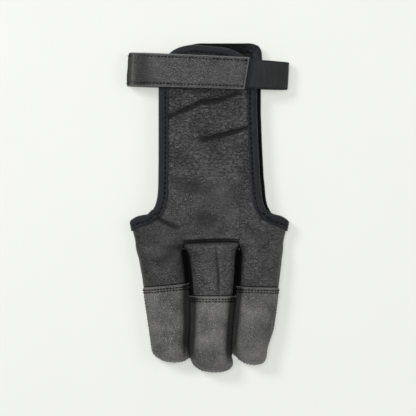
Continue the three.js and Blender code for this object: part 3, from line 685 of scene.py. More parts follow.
def add_sleeve(wall, finger, columns, first_row, face, parting_gaps, lay=seam_tilt):
    """Hangs a finger's sleeve from a row of the hand, clear of its neighbour."""
    across, angle = columns
    across = across.copy()
    across[0] += parting_gaps[0]
    across[-1] -= parting_gaps[1]
    distance = sleeve_distances(finger, SEAM_GAP)[1:]
    tuck = sleeve_tuck(finger, distance, SIDE_TUCK_DELAY if face == "back" else 0)
    roll = edge_roll(len(across), SIDE_ROLL if face == "front" else 0) * smooth_step(distance / 5)
    outer = skin_point(finger, distance, across, angle, face, roll - tuck)
    inner = skin_point(finger, distance, across, angle, face, roll - tuck - LEATHER_WALL)
    # Painted shade: dark where the sleeve dives under its cap, on its rolled edges, at the valleys
    # and in the creases
    groove = np.clip(0.4 * tuck / TUCK_DEPTH - roll / SIDE_ROLL, 0, 1)
    if face == "front":
        fade = valley_edge_shade(len(across), np.sign(parting_gaps)) * smooth_step(distance / 5)
        groove = np.maximum(np.maximum(groove, fade), 0.7 * crease_shade(outer))
    numbers = wall.rows(lay(outer), lay(inner), groove=groove, drawn=drawn_share(outer))
    wall.fill(np.vstack([first_row, numbers]))


def front_panel(finish):
    """Wrist strip, knuckle band and the fronts of the two outer fingers."""
    left = columns_over(FRONT_COLUMNS[0], -1, LEFT_PARTING, 180, FRONT_SEAM_ANGLE)
    middle = columns_over(FRONT_COLUMNS[1], LEFT_PARTING, RIGHT_PARTING, 0, 0)
    right = columns_over(FRONT_COLUMNS[2], RIGHT_PARTING, 1, 180 - FRONT_SEAM_ANGLE, 0)
    across = np.concatenate([left[0], middle[0][1:], right[0][1:]])
    roll = edge_roll(len(across), 0.35)
    skins = []
    for offset in (0.0, -LEATHER_WALL):
        strip = panel_rows(panel_alongs("front"), across, "front", offset)
        knuckles = knuckle_rows("front", across, offset + (roll if offset == 0 else 0))
        skins.append(seam_tilt(np.concatenate([strip, knuckles])))
    wall = Wall()
    middle_part = slice(len(left[0]), len(left[0]) + len(middle[0]) - 2)
    # Painted shade: a dark last row over the insert's seam, and the creases
    groove = np.zeros(skins[0].shape[:2])
    groove[-1, middle_part] = 0.9
    groove = np.maximum(groove, crease_shade(skins[0]))
    numbers = wall.rows(*skins, groove=groove, drawn=drawn_share(skins[0]))
    wall.fill(numbers)
    last = numbers[-1]
    add_sleeve(wall, LEFT, left, last[:len(left[0])], "front", (0, PARTING_GAP))
    add_sleeve(wall, RIGHT, right, last[-len(right[0]):], "front", (PARTING_GAP, 0))
    return wall.piece("knuckle_and_wrist_leather", finish)


def middle_insert(finish):
    """Leather insert on the front of the middle finger, its top edge tucked under the seam."""
    across, angle = columns_over(
        FRONT_COLUMNS[1], LEFT_PARTING + PARTING_GAP, RIGHT_PARTING - PARTING_GAP,
        180 - FRONT_SEAM_ANGLE, FRONT_SEAM_ANGLE)
    distance = sleeve_distances(MIDDLE, -1.2)
    tuck = sleeve_tuck(MIDDLE, distance) + 1.55 * smooth_step((0.9 - distance) / 1.0)
    roll = edge_roll(len(across), SIDE_ROLL) * smooth_step(distance / 5)
    outer = skin_point(MIDDLE, distance, across, angle, "front", roll - tuck)
    inner = skin_point(MIDDLE, distance, across, angle, "front", roll - tuck - LEATHER_WALL)
    # Painted shade: the hollow just under the seam, the rolled edges, the valleys and the creases
    groove = np.clip(bump((distance - 0.3) / 1.6) - roll / SIDE_ROLL, 0, 1)
    groove = np.maximum(groove, valley_edge_shade(len(across), (1, 1)) * smooth_step(distance / 5))
    groove = np.maximum(groove, crease_shade(outer))
    return sheet("middle_finger_insert", finish, seam_tilt(outer), seam_tilt(inner),
                 groove=groove, drawn=FINGER_DRAWN)


def back_panel(finish):
    """The hidden side: wrist strip, hand and the backs of all three fingers."""
    seam = SEAM_GAP_ANGLE
    turned = -180 - BACK_SEAM_ANGLE
    groups = [
        (finger, columns_over(BACK_COLUMNS, *ends)) for finger, *ends in (
            (LEFT, -1, LEFT_PARTING, seam - 180, BACK_SEAM_ANGLE - seam),
            (MIDDLE, LEFT_PARTING, RIGHT_PARTING, turned + seam, BACK_SEAM_ANGLE - seam),
            (RIGHT, RIGHT_PARTING, 1, turned + seam, -seam))
    ]
    across = np.concatenate([groups[0][1][0]] + [columns[0][1:] for _, columns in groups[1:]])
    skins = []
    for offset in (0.0, -LEATHER_WALL):
        rows = [panel_rows(panel_alongs("back"), across, "back", offset),
                knuckle_rows("back", across, offset)]
        skins.append(below_side_seam(np.concatenate(rows)))
    wall = Wall()
    numbers = wall.rows(*skins)
    wall.fill(numbers)
    first = 0
    for index, (finger, columns) in enumerate(groups):
        count = len(columns[0])
        gaps = (PARTING_GAP if index > 0 else 0, PARTING_GAP if index < 2 else 0)
        add_sleeve(wall, finger, columns, numbers[-1][first:first + count], "back", gaps,
                   below_side_seam)
        first += count - 1
    return wall.piece("back_of_hand_leather", finish)


def below_side_seam(points):
    """Keeps the back's upper edge a seam's gap under the front's lower edge."""
    lowered = points.copy()
    near = smooth_step((points[..., 2] / SIDE_SEAM_HEIGHT - 0.6) / 0.4)
    lowered[..., 2] -= 2 * SEAM_GAP * near
    return lowered


def web_point(y, across, web, side, offset):
    """Side wall between two fingers where it meets the hand. web: 0 at the front, 1 at the back."""
    low = hand_point(y, across, "back", -LEATHER_WALL - CLEARANCE)
    high = hand_point(y, across, "front", -LEATHER_WALL - CLEARANCE)
    point = high + (low - high) * web[..., None]
    point[..., 0] = hand_point(y, across, "front")[..., 0] + side * offset
    return point


def fourchette(name, left_finger, right_finger, across, finish):
    """Side walls of two neighbouring fingers, one strip folded round the web between them."""
    web = np.linspace(0, 1, WEB_COLUMNS)
    angle = FRONT_SEAM_ANGLE - SEAM_GAP_ANGLE
    angle = angle + (BACK_SEAM_ANGLE + SEAM_GAP_ANGLE - angle) * web
    skins = []
    for thickness in (0.0, LEATHER_WALL):
        sides = []
        for finger, side in ((left_finger, -1), (right_finger, 1)):
            distance = sleeve_distances(finger, WEB_START)
            roll = SIDE_ROLL * bump(web / 0.22) * smooth_step((0.36 - web) / 0.2)
            roll = roll * smooth_step(distance / 5)
            offset = -sleeve_tuck(finger, distance, SIDE_TUCK_DELAY) - thickness - roll
            place = across + side * CLEARANCE / KNUCKLE_WIDTH
            share = smooth_step(distance / WEB_LENGTH)[..., None]
            on_hand = web_point(-distance + 0 * web, place, web, side, offset)
            on_stall = stall_point(finger, distance, angle if side < 0 else 180 - angle, offset)
            sides.append(on_hand * (1 - share) + on_stall * share)
        fold = web_point(CLEARANCE - WEB_START + thickness + 0 * web, across, web, 0, 0)[None]
        skins.append(seam_tilt(np.concatenate([sides[0][::-1], fold, sides[1]])))
    return sheet(name, finish, *skins)


def cap_sewing_dip(distance, finger):
    """Grooves that the two rows of stitches pull into the cap."""
    return sum(SEWING_DIP * bump((distance - finger.cap_edge - row) / 0.45) for row in CAP_ROWS)


def valley_share(finger, angle):
    """1 on the shoulders of a finger that lie against its neighbours."""
    share = 0 * angle
    for side, shoulder in ((1, 28), (-1, 152)):
        if finger.room[side] is not None:
            share = share + bump((angle - shoulder) / 14)
    return share


def valley_shade(finger, angle):
    """Painted shade on a finger's flanks that face the valleys beside it."""
    share = 0 * angle
    for side in (1, -1):
        if finger.room[side] is not None:
            above = (angle + 180) % 360 - 180 if side > 0 else 180 - angle
            facing = smooth_step((64 - above) / 46) * smooth_step((above + 40) / 20)
            share = np.maximum(share, facing)
    return share


def cap_dents(finger, distance, angle):
    x = 20 * np.cos(np.radians(angle)) + finger.base
    far = smooth_step((distance - finger.cap_edge - CAP_LAP) / 6)
    return 0.7 * far * CAP_HILLS.at(x, distance)


def side_seam_dip(finger, angle):
    """Groove of the seam down the free sides of a cap."""
    cosine, sine = np.cos(np.radians(angle)), np.sin(np.radians(angle))
    free = [finger.room[side] is None for side in (-1, 1)]
    return 0.4 * bump(sine / 0.12) * np.where(cosine < 0, free[0], free[1])


def fingertip_cap(finger, finish):
    """Thick leather thimble that laps over the end of a finger's sleeve."""
    angle = np.linspace(0, 360, CAP_COLUMNS, endpoint=False)
    straight_end = finger.length - TIP_ROUND
    edge = finger.cap_edge + np.array([0, 0.12, 0.3, 0.55, 0.9, 1.4])
    body = np.linspace(edge[-1], straight_end, int((straight_end - edge[-1]) / 0.7))[1:]
    tip_share = np.sin(np.radians(np.linspace(5, 86, 16)))
    reach = TIP_ROUND + CAP_PROUD
    distance, inner_distance = (
        np.concatenate([edge, body, straight_end + tip_share * end])[:, None]
        for end in (reach, reach - CAP_WALL))
    cut = np.clip(1 - (distance - finger.cap_edge) / 0.8, 0, 1)
    dents = cap_dents(finger, distance, angle)
    valley = valley_share(finger, angle) * smooth_step((distance - finger.cap_edge) / 1.5)
    sewing, seam = cap_sewing_dip(distance, finger), side_seam_dip(finger, angle)
    dip = sewing + seam + 0.75 * cut**2
    dip = dip + SIDE_ROLL * valley
    outer = stall_point(finger, distance, angle, CAP_PROUD - dip, dents, CAP_PROUD)
    inner = stall_point(finger, inner_distance, angle, CAP_PROUD - CAP_WALL + 0 * angle, dents,
                        CAP_PROUD)
    wall = Wall()
    # Painted shade: the grooves of the stitch rows and side seams, the flanks that face the valleys
    # and the sides, fading out near the tip
    groove = 0.5 * sewing / SEWING_DIP + seam / 0.3
    flank = 0.45 * bump(np.sin(np.radians(angle)) / 0.55)
    shaded = smooth_step((finger.length - 2 - distance) / 13)
    groove = np.clip(groove + (valley_shade(finger, angle) + flank) * shaded, 0, 1)
    numbers = wall.rows(outer, inner, edge=cut + 0 * angle, groove=groove, drawn=0.3)
    wall.fill(numbers, closed=True)
    ends = [row[-1].mean(axis=0)[None, None] for row in (outer, inner)]
    tip = wall.rows(*ends)
    wall.close(numbers[-1], tip[0, 0])
    return wall.piece(f"{finger.name}_fingertip_leather", finish)


def tape_section():
    """Section of folded tape: places inwards from the leather's edge, heights over its skin."""
    inner = BINDING_WIDTH - BINDING_OVER
    under = -LEATHER_WALL - 2 * CLEARANCE
    turn = np.radians(np.linspace(90, 270, 11))
    fold, core = (
        [(FOLD_START + depth * math.cos(a), (high + low) / 2 + (high - low) / 2 * math.sin(a))
         for a in turn]
        for depth, high, low in ((FOLD_START + BINDING_OVER, BINDING_OVER, under - TAPE_WALL),
                                 (1.0, CLEARANCE, under)))
    reach = np.array([inner, inner - 0.15, inner - 0.5, 4.4, 4.0, 3.7, 3.3, 2.9, 2.5, 2.0, 1.4])
    edge_drop = np.array([0.45, 0.12, 0, 0, 0, 0, 0, 0, 0, 0, 0])
    outer = [(x, BINDING_OVER - d) for x, d in zip(reach, edge_drop)] + fold
    outer += [(x, under - TAPE_WALL + d) for x, d in zip(reach[::-1], edge_drop[::-1])]
    lining = [(x, CLEARANCE) for x in reach] + core + [(x, under) for x in reach[::-1]]
    return np.array(outer), np.array(lining)


TAPE_OUTER, TAPE_LINING = tape_section()


def tape_relief(run, section):
    """Puckers of the stitch row, the soft lane outside it and uneven hand of the tape."""
    x, height = section[:, 0], section[:, 1]
    top = smooth_step((height - 0.3) / 0.6)
    pitch = BINDING_SEWING[0]
    pull = 0.7 + 0.3 * np.cos(2 * math.pi * run[:, None] / pitch)
    lane = 0.28 * bump((x - 0.9) / 1.4)
    row = 0.42 * bump((x - BINDING_ROW) / 0.55) * pull
    return top * (lane - row + 0.16 * TAPE_HILLS.at(run[:, None], 3 * x))


def inward_from(path):
    """Directions in plan, to the right of the path."""
    along = unit(np.gradient(path, axis=0))
    return np.stack([along[:, 1], -along[:, 0]], -1)


def strip_path(face, flare):
    """Plan of a wrist strip's edge, from the left opening over the top to the right one."""
    along = EDGE.along[0] + (1 - EDGE.along[0]) * np.linspace(0, 1, 4000)
    along = along[EDGE.at("flare", along) <= flare]
    y, left, right, _ = edge_at(along, face)
    up, down = (np.stack([x, y + slant_at(along, x, face)], -1) for x in (left, right))
    return softened(evenly(np.concatenate([up, down[::-1]]), STEP), 12)


def tape_skins(plan_point, run):
    """Outer and lining skins of tape swept along a path by plan_point(section places)."""
    relief = tape_relief(run, TAPE_OUTER)
    return plan_point(TAPE_OUTER, relief), plan_point(TAPE_LINING, 0 * relief)


def tape_piece(name, finish, skins, run, drawn=0.0):
    # Painted shade along the puckered stitch row
    groove = bump((TAPE_OUTER[:, 0] - BINDING_ROW) / 0.7) * (TAPE_OUTER[:, 1] > 0)
    return sheet(name, finish, *skins, run=run[:, None], groove=groove, drawn=drawn,
                 across=np.arange(len(TAPE_OUTER)) * TAPE_COLUMN)


def strip_binding(name, face, flare, finish):
    """Fabric strip folded over the edge of a wrist strip."""
    path = strip_path(face, flare)
    inward = inward_from(path)
    run = travelled(path)
    sign = 1 if face == "front" else -1

    def place(section, relief):
        plan = path[:, None] + inward[:, None] * section[:, :1]
        height = skin_height(plan[..., 0], plan[..., 1], face)
        z = height + sign * (section[:, 1] + relief)
        return np.concatenate([plan, np.maximum(z, FLOOR_GAP)[..., None]], -1)

    skins = [crumpled_corner(skin, face) for skin in tape_skins(place, run)]
    return tape_piece(name, finish, skins, run, 0 if face == "front" else corner_share(skins[0]))


CORNER_PLACE = (31.0, 124.0)
CORNER_HILLS = Hills(41, 2.6, 4.5, 20)


def corner_share(points):
    """1 in the middle of the corner where the back's binding bunches up."""
    x, y = points[..., 0] - CORNER_PLACE[0], points[..., 1] - CORNER_PLACE[1]
    return bump(x / 5) * bump(y / 7)


def crumpled_corner(points, face):
    """The back's binding bunches up where it turns the top right corner."""
    if face == "front":
        return points
    crumpled = points.copy()
    upper = smooth_step(points[..., 2] / 4)
    hills = CORNER_HILLS.at(points[..., 0], points[..., 1])
    near = corner_share(points)
    crumpled[..., 0] += near * (1.5 + 0.6 * hills)
    crumpled[..., 1] += near * (1.2 - 0.7 * hills)
    crumpled[..., 2] += upper * near * (1.8 + 3.2 * hills)
    return crumpled


def opening_stations(side):
    """Places round a side opening's lower rim: plan, way inwards, half width, flare, face."""
    parts = []
    for face in ("front", "back"):
        along = np.linspace(EDGE.along[0], 0.30, 4000)
        start = LAP_FLARE if face == "front" else JOIN_FLARE
        along = along[EDGE.at("flare", along) >= start][::-1]
        y, left, right, _ = edge_at(along, face)
        path = np.stack([left if side < 0 else right, y, along], -1)
        path = evenly(path, STEP * 0.8)
        plan = softened(path[:, :2], 6)
        flare = EDGE.at("flare", path[:, 2])
        inward = side * inward_from(plan)
        down = smooth_step((flare - JOIN_FLARE) / (STRAIGHT_FLARE - JOIN_FLARE))[:, None]
        inward = inward * (1 - down) + np.array([0, -1]) * down
        inward = unit(inward)
        half = edge_at(path[:, 2], face)[3]
        if face == "back":
            plan, inward, half, flare = (part[-2::-1] for part in (plan, inward, half, flare))
        parts.append((plan, inward, half, flare, face))
    return parts


def seam_widening(flare):
    """How much wider the opening's tape lies where it passes the side seam."""
    return 1.5 * smooth_step((flare - 0.3) / 0.65)


def opening_point(station, reach, height):
    """Places on an opening's tape: reach inwards from its edge, height over the skin."""
    plan, inward, half, flare, face = station
    spot = plan[:, None] + inward[:, None] * reach[:, None]
    spot[..., 1] += seam_widening(flare)[:, None] * (1 - reach / BINDING_WIDTH)
    lift = LAP_LIFT * smooth_step((0.42 - flare) / 0.12) if face == "front" else 0 * flare
    across = (spot[..., 0] - HAND_CENTRE) / half[:, None]
    return hand_point(spot[..., 1], across, face, height + lift[:, None])


def opening_binding(name, side, finish):
    """Fabric strip folded over the lower rim of a side opening, lapped over the strip's binding."""
    total = 0.0
    skins, runs = [], []
    for station in opening_stations(side):
        run = total + travelled(station[0])
        total = run[-1] + STEP

        def place(section, relief):
            point = opening_point(station, section[:, 0], section[:, 1] + relief)
            point[..., 2] = np.maximum(point[..., 2], FLOOR_GAP)
            return point

        skins.append(tape_skins(place, run))
        runs.append(run)
    skins = [np.concatenate(parts) for parts in zip(*skins)]
    return tape_piece(name, finish, skins, np.concatenate(runs))


STRIP_TOP = WRIST_HEIGHT + BINDING_OVER + CLEARANCE
OVER_ELASTIC = ELASTIC_WALL + HOOK_WALL + 2 * CLEARANCE
ELASTIC_START = STRAP_END - ELASTIC_UNDERLAP


def fold_turn(side, fold, wall):
    """Half turn of a band at its fold, from the upper run down to the lower run."""
    radius = (FOLD_HEIGHT - wall) / 2
    centre = side * (fold - radius - wall / 2)
    turn = np.radians(np.linspace(0, 180, 25))
    return [(centre + side * radius * math.sin(a), wall / 2 + radius + radius * math.cos(a))
            for a in turn]


def looped_path(upper, wall, side, fold, lower):
    """Middle of a band: the upper run's underside, half turn at the fold and x of the lower run."""
    upper = [(x, z + wall / 2) for x, z in upper]
    lower = [(x, wall / 2) for x in lower]
    return softened(evenly(upper + fold_turn(side, fold, wall) + lower, STEP), 5)


def strap_path():
    edge = STRIP_WIDTH / 2
    high = STRIP_TOP + OVER_ELASTIC
    upper = [
        (STRAP_END, high), (ELASTIC_START - 1, high),
        (ELASTIC_START - 5, STRIP_TOP + 0.88 * OVER_ELASTIC),
        (ELASTIC_START - 11, STRIP_TOP + 0.5 * OVER_ELASTIC),
        (ELASTIC_START - 17, STRIP_TOP + 0.12 * OVER_ELASTIC),
        (ELASTIC_START - 21, STRIP_TOP), (-edge - 2, STRIP_TOP - 0.2),
        (-edge - 7, STRIP_TOP - 1.2), (-edge - 12, STRIP_TOP - 2.8),
    ]
    return looped_path(upper, STRAP_WALL, -1, STRAP_FOLD, (-edge / 2, LOWER_JOINT - CLEARANCE))


def elastic_path():
    edge = STRIP_WIDTH / 2
    upper = [
        (ELASTIC_START, STRIP_TOP), (0.9 * edge, STRIP_TOP), (edge + 3, STRIP_TOP - 0.2),
        (edge + 8, STRIP_TOP - 1.3), (edge + 13, STRIP_TOP - 3.0),
    ]
    return looped_path(upper, ELASTIC_WALL, 1, ELASTIC_FOLD, (0.6 * edge, LOWER_JOINT))


def hook_path():
    height = STRIP_TOP + ELASTIC_WALL + CLEARANCE + HOOK_WALL / 2
    end = STRAP_END - HOOK_INSET
    return evenly([(end, height), (end - HOOK_LENGTH, height)], STEP)


def band_edges(x, width, taper):
    middle = STRAP_FROM_FINGERS + STRAP_SLOPE * x
    half = (width + taper * x) / 2
    return middle - half, middle + half


def band_point(path, share, height, width, taper, slant=0.0):
    """Places on a band: share runs 0 to 1 from its lower long edge, height is over its middle."""
    outwards = inward_from(path)
    if path[0, 0] < path[-1, 0]:
        outwards = -outwards
    low, high = band_edges(path[:, 0], width, taper)
    y = low[:, None] + (high - low)[:, None] * share
    end = bump(travelled(path) / 14)[:, None]
    lean = BAND_LEAN * (y - (low + high)[:, None] / 2)
    x = path[:, :1] + outwards[:, :1] * height + slant * (2 * share - 1) * end + lean
    z = path[:, 1:] + outwards[:, 1:] * height
    return np.stack(np.broadcast_arrays(x, y, z), -1)


def band_shares(width, edge_rows):
    """Places over a band's width, close together at both long edges."""
    edge = np.array(edge_rows) / width
    middle = np.linspace(edge[-1], 1 - edge[-1], int(width / STEP))[1:-1]
    return np.concatenate([edge, middle, 1 - edge[::-1]])


def fold_light_and_shade(path):
    """Along the strap: a painted highlight on the line of its fold, painted shade beside it."""
    upper = path[:, 1] > FOLD_HEIGHT / 2
    place = path[:, 0] + STRAP_FOLD - FOLD_LINE
    fold_highlight = upper * bump(place / 1.2)
    fold_shade = bump((place + 3.2) / 1.9) + 0.55 * bump((place - 6.5) / 4.5)
    return fold_highlight[:, None], np.clip(fold_shade, 0, 1)[:, None]


def band(name, path, wall_height, width, taper, finish, relief, slant=0.0, rows=(0, 0.15, 0.4, 0.9),
         paint_fold_light=False):
    """Flat band bent along a path, its long edges and ends rounded off."""
    share = band_shares(width, rows)
    near = np.minimum(share, 1 - share) * width
    run = travelled(path)
    end = np.minimum(run, run[-1] - run)[:, None]
    thin = np.sqrt(1 - np.clip(1 - near / 0.7, 0, 1) ** 2) * (0.35 + 0.65 * smooth_step(end / 0.8))
    half = wall_height / 2 * (0.25 + 0.75 * thin)
    up = relief(run[:, None], share, near)
    outer = band_point(path, share, half + up, width, taper, slant)
    outer[..., 2] = np.maximum(outer[..., 2], 0)
    inner = band_point(path, share, -half + 0 * up, width, taper, slant)
    cut = np.clip(1 - np.minimum(near + 0 * end, end) / 1.5, 0, 1)
    groove = 0.0
    # Painted highlight on the fold line in the cut edges' colour, painted shade beside it
    if paint_fold_light:
        fold_highlight, groove = fold_light_and_shade(path)
        cut = np.maximum(cut, 0.56 * fold_highlight)
    return sheet(name, finish, outer, inner, edge=cut, groove=groove, drawn=0.5,
                 run=run[:, None], across=share * width)


STRAP_HILLS = Hills(51, 9.0, 6.0)


def strap_relief(run, share, near):
    row = 0.3 * bump((near - STRAP_ROW) / 0.5)
    crown = 0.5 * np.sin(math.pi * share)
    ridge = 0.6 * bump((run - STRAP_FOLD - STRAP_END + 2.6) / 1.5)
    return crown + ridge + 0.4 * STRAP_HILLS.at(run, share * STRAP_WIDTH) - row


def elastic_relief(run, share, near):
    selvedge = 0.12 * bump((near - 1.2) / 0.7)
    return selvedge + 0.10 * STRAP_HILLS.at(run + 200, share * ELASTIC_WIDTH)


def hook_relief(run, share, near):
    return 0 * run * share


# Sewing

def add_node(tree, kind, settings, sockets):
    """Any node, its settings first, then the values or links of its sockets."""
    made = tree.nodes.new(kind)
    for key, value in settings.items():
        setattr(made, key, value)
    for key, value in sockets.items():
        if isinstance(value, bpy.types.NodeSocket):
            tree.links.new(value, made.inputs[key])
        else:
            made.inputs[key].default_value = value
    return made


def sewn_thread_nodes():
    """Node tree that lays short bent threads along the edges of a mesh, turned by its 'up'."""
    tree = bpy.data.node_groups.new("sewn_thread", "GeometryNodeTree")
    for name, kind in (("Rows", "NodeSocketGeometry"), ("Pitch", "NodeSocketFloat"),
                       ("Stitch length", "NodeSocketFloat"), ("Thread radius", "NodeSocketFloat"),
                       ("Thread", "NodeSocketMaterial")):
        tree.interface.new_socket(name, in_out="INPUT", socket_type=kind)
    tree.interface.new_socket("Stitches", in_out="OUTPUT", socket_type="NodeSocketGeometry")

    def node(kind, settings=None, **sockets):
        named = {key.replace("_", " "): value for key, value in sockets.items()}
        return add_node(tree, kind, settings or {}, named)

    def times(socket, factor):
        terms = {0: socket, 1: factor}
        return add_node(tree, "ShaderNodeMath", {"operation": "MULTIPLY"}, terms).outputs[0]

    given = node("NodeGroupInput").outputs
    length, radius = given["Stitch length"], given["Thread radius"]
    curve = node("GeometryNodeMeshToCurve", Mesh=given["Rows"])
    spaced = node("GeometryNodeResampleCurve", {"mode": "LENGTH"}, Curve=curve.outputs[0],
                  Length=given["Pitch"])
    start = node("ShaderNodeCombineXYZ", X=times(length, -0.5), Z=times(radius, -1.4))
    top = node("ShaderNodeCombineXYZ", Z=times(radius, 2.0))
    end = node("ShaderNodeCombineXYZ", X=times(length, 0.5), Z=times(radius, -1.4))
    bent = node("GeometryNodeCurveQuadraticBezier", Resolution=5, Start=start.outputs[0],
                Middle=top.outputs[0], End=end.outputs[0])
    ring = node("GeometryNodeCurvePrimitiveCircle", Resolution=6, Radius=radius)
    thread = node("GeometryNodeCurveToMesh", Curve=bent.outputs[0], Profile_Curve=ring.outputs[0],
                  Fill_Caps=True)
    up = node("GeometryNodeInputNamedAttribute", {"data_type": "FLOAT_VECTOR"}, Name="up")
    turn = node("FunctionNodeAxesToRotation", {"primary_axis": "Z", "secondary_axis": "X"},
                Primary_Axis=up.outputs["Attribute"],
                Secondary_Axis=node("GeometryNodeInputTangent").outputs[0])
    size = node("FunctionNodeRandomValue", {"data_type": "FLOAT"}, Seed=7)
    size.inputs[2].default_value = 0.85
    size.inputs[3].default_value = 1.1
    laid = node("GeometryNodeInstanceOnPoints", Points=spaced.outputs[0],
                Instance=thread.outputs[0], Rotation=turn.outputs[0])
    tree.links.new(size.outputs[1], laid.inputs["Scale"])
    real = node("GeometryNodeRealizeInstances", Geometry=laid.outputs[0])
    coloured = node("GeometryNodeSetMaterial", Geometry=real.outputs[0], Material=given["Thread"])
    node("NodeGroupOutput", Stitches=coloured.outputs[0])
    return tree


def sewn(name, rows, sewing, tree, thread):
    """Rows of stitches: rows is a list of (points, outward directions) of each row."""
    pitch, length, radius = (value * MM for value in sewing)
    points, ups, edges = [], [], []
    for row, up in rows:
        start = len(points)
        row = np.maximum(row, [-np.inf, -np.inf, 1.6 * sewing[2]])
        points += ((row + PLAN_SHIFT) * MM).tolist()
        ups += up.tolist()
        edges += [(start + i, start + i + 1) for i in range(len(row) - 1)]
    mesh = bpy.data.meshes.new(name)
    mesh.from_pydata(points, edges, [])
    attribute = mesh.attributes.new("up", "FLOAT_VECTOR", "POINT")
    attribute.data.foreach_set("vector", np.array(ups, np.float32).ravel())
    guide = add_object(name + "_rows", mesh)
    sewing_step = guide.modifiers.new("sewn thread", "NODES")
    sewing_step.node_group = tree
    values = {"Pitch": pitch, "Stitch length": length, "Thread radius": radius, "Thread": thread}
    for item in tree.interface.items_tree:
        if item.in_out == "INPUT" and item.name in values:
            sewing_step[item.identifier] = values[item.name]
    shaped = guide.evaluated_get(bpy.context.evaluated_depsgraph_get())
    stitches = bpy.data.meshes.new_from_object(shaped)
    stitches.name = name
    stitches.shade_smooth()
    bpy.data.objects.remove(guide)
    return add_object(name, stitches)


def outward(points, towards):
    """Directions square to a row of points, nearest to one direction."""
    along = unit(np.gradient(points, axis=0))
    return unit(np.cross(np.cross(along, towards), along))


UP = np.array([0.0, 0.0, 1.0])


def strip_stitch_row(face, flare):
    path = strip_path(face, flare)
    plan = path + inward_from(path) * BINDING_ROW
    sign = 1 if face == "front" else -1
    height = skin_height(plan[:, 0], plan[:, 1], face)
    z = height + sign * THREAD_HEIGHT
    row = crumpled_corner(np.concatenate([plan, z[:, None]], -1), face)
    return row, outward(row, sign * UP)


def opening_stitch_rows(side):
    reach = np.array([BINDING_ROW])
    rows = []
    for station in opening_stations(side):
        row, skin = (opening_point(station, reach, THREAD_HEIGHT - depth)[:, 0] for depth in (0, 1))
        rows.append((row, unit(row - skin)))
    return rows


def row_on_cap(finger, distance, angle, sink):
    """A row of stitches on a cap and the ways outwards. sink: depth under the cap's skin."""
    row, core = (stall_point(finger, distance, angle, CAP_PROUD - depth, 0, CAP_PROUD)
                 for depth in (sink, sink + 1))
    return row, row - core


def cap_stitch_rows(finger):
    """The two rows round a cap, without their parts that face the floor."""
    angle = np.linspace(-90, 270, 161)
    rows = []
    for place in CAP_ROWS:
        row, away = row_on_cap(finger, np.full(angle.shape, finger.cap_edge + place), angle, 0.17)
        over_floor = row[:, 2] > 1.0
        rows.append((row[over_floor], unit(away[over_floor])))
    return rows


def tip_stitch_row(finger):
    """Stitches of the seam that runs down both sides of a cap and round its tip."""
    end = finger.length - TIP_ROUND
    turn = end + np.sin(np.radians(np.linspace(4, 90, 20))) * (TIP_ROUND + CAP_PROUD)
    sides = []
    for side, angle in ((-1, 180.0), (1, 0.0)):
        start = finger.cap_edge + CAP_LAP + 1 if finger.room[side] is None else end - 2
        down = np.concatenate([np.linspace(start, end, 40), turn])
        sides.append(row_on_cap(finger, down, np.full(down.shape, angle), 0.4))
    row, away = (np.concatenate([left, right[-2::-1]]) for left, right in zip(*sides))
    return row, unit(away)


def insert_stitch_row():
    across = np.linspace(LEFT_PARTING + 0.012, RIGHT_PARTING - 0.012, 60)
    row = hand_point(np.full(across.shape, 1.35), across, "front", 0.1)
    row = seam_tilt(row)
    return row, outward(row, UP)


def strap_stitch_rows():
    path = strap_path()
    run = travelled(path)
    rows = []
    upper = path[run < STRAP_END + STRAP_FOLD + 4]
    upper = upper[travelled(upper) > 2.3]
    row_shares = STRAP_ROW / STRAP_WIDTH, 1 - STRAP_ROW / STRAP_WIDTH
    for share in row_shares:
        row = band_point(upper, np.array([share]), STRAP_WALL / 2 - 0.08, STRAP_WIDTH,
                         STRAP_TAPER, STRAP_END_SLANT)[:, 0]
        rows.append((row, outward(row, UP)))
    share = np.linspace(*row_shares, 30)
    end = band_point(path[:6], share, STRAP_WALL / 2 + 0.1, STRAP_WIDTH, STRAP_TAPER,
                     STRAP_END_SLANT)[2]
    end[:, 0] -= 0.3
    rows.append((end, outward(end, UP)))
    return rows


# Finishes

# Near-black colour of the painted shade in creases, grooves, seams and valleys
PAINTED_SHADE_BLACK = (0.001, 0.001, 0.001)


def formula_pair(operation):
    """Methods for a number that comes first and for one that comes second."""
    return (lambda self, other: self.formula(operation, self, other),
            lambda self, other: self.formula(operation, other, self))


class Number:
    """A number that changes over a surface, used in formulas."""

    def __init__(self, finish, socket):
        self.finish, self.socket = finish, socket

    def formula(self, operation, *terms):
        made = self.finish.node("ShaderNodeMath", dict(enumerate(terms)), operation=operation)
        return Number(self.finish, made.outputs[0])

    __add__, __radd__ = formula_pair("ADD")
    __sub__, __rsub__ = formula_pair("SUBTRACT")
    __mul__, __rmul__ = formula_pair("MULTIPLY")
    __truediv__, __rtruediv__ = formula_pair("DIVIDE")

    def sine(self):
        return self.formula("SINE", self)

    def between(self, low, high):
        """0 up to low, 1 from high, softly in between."""
        made = self.finish.node(
            "ShaderNodeMapRange", {"Value": self, "From Min": low, "From Max": high},
            interpolation_type="SMOOTHSTEP")
        return Number(self.finish, made.outputs[0])


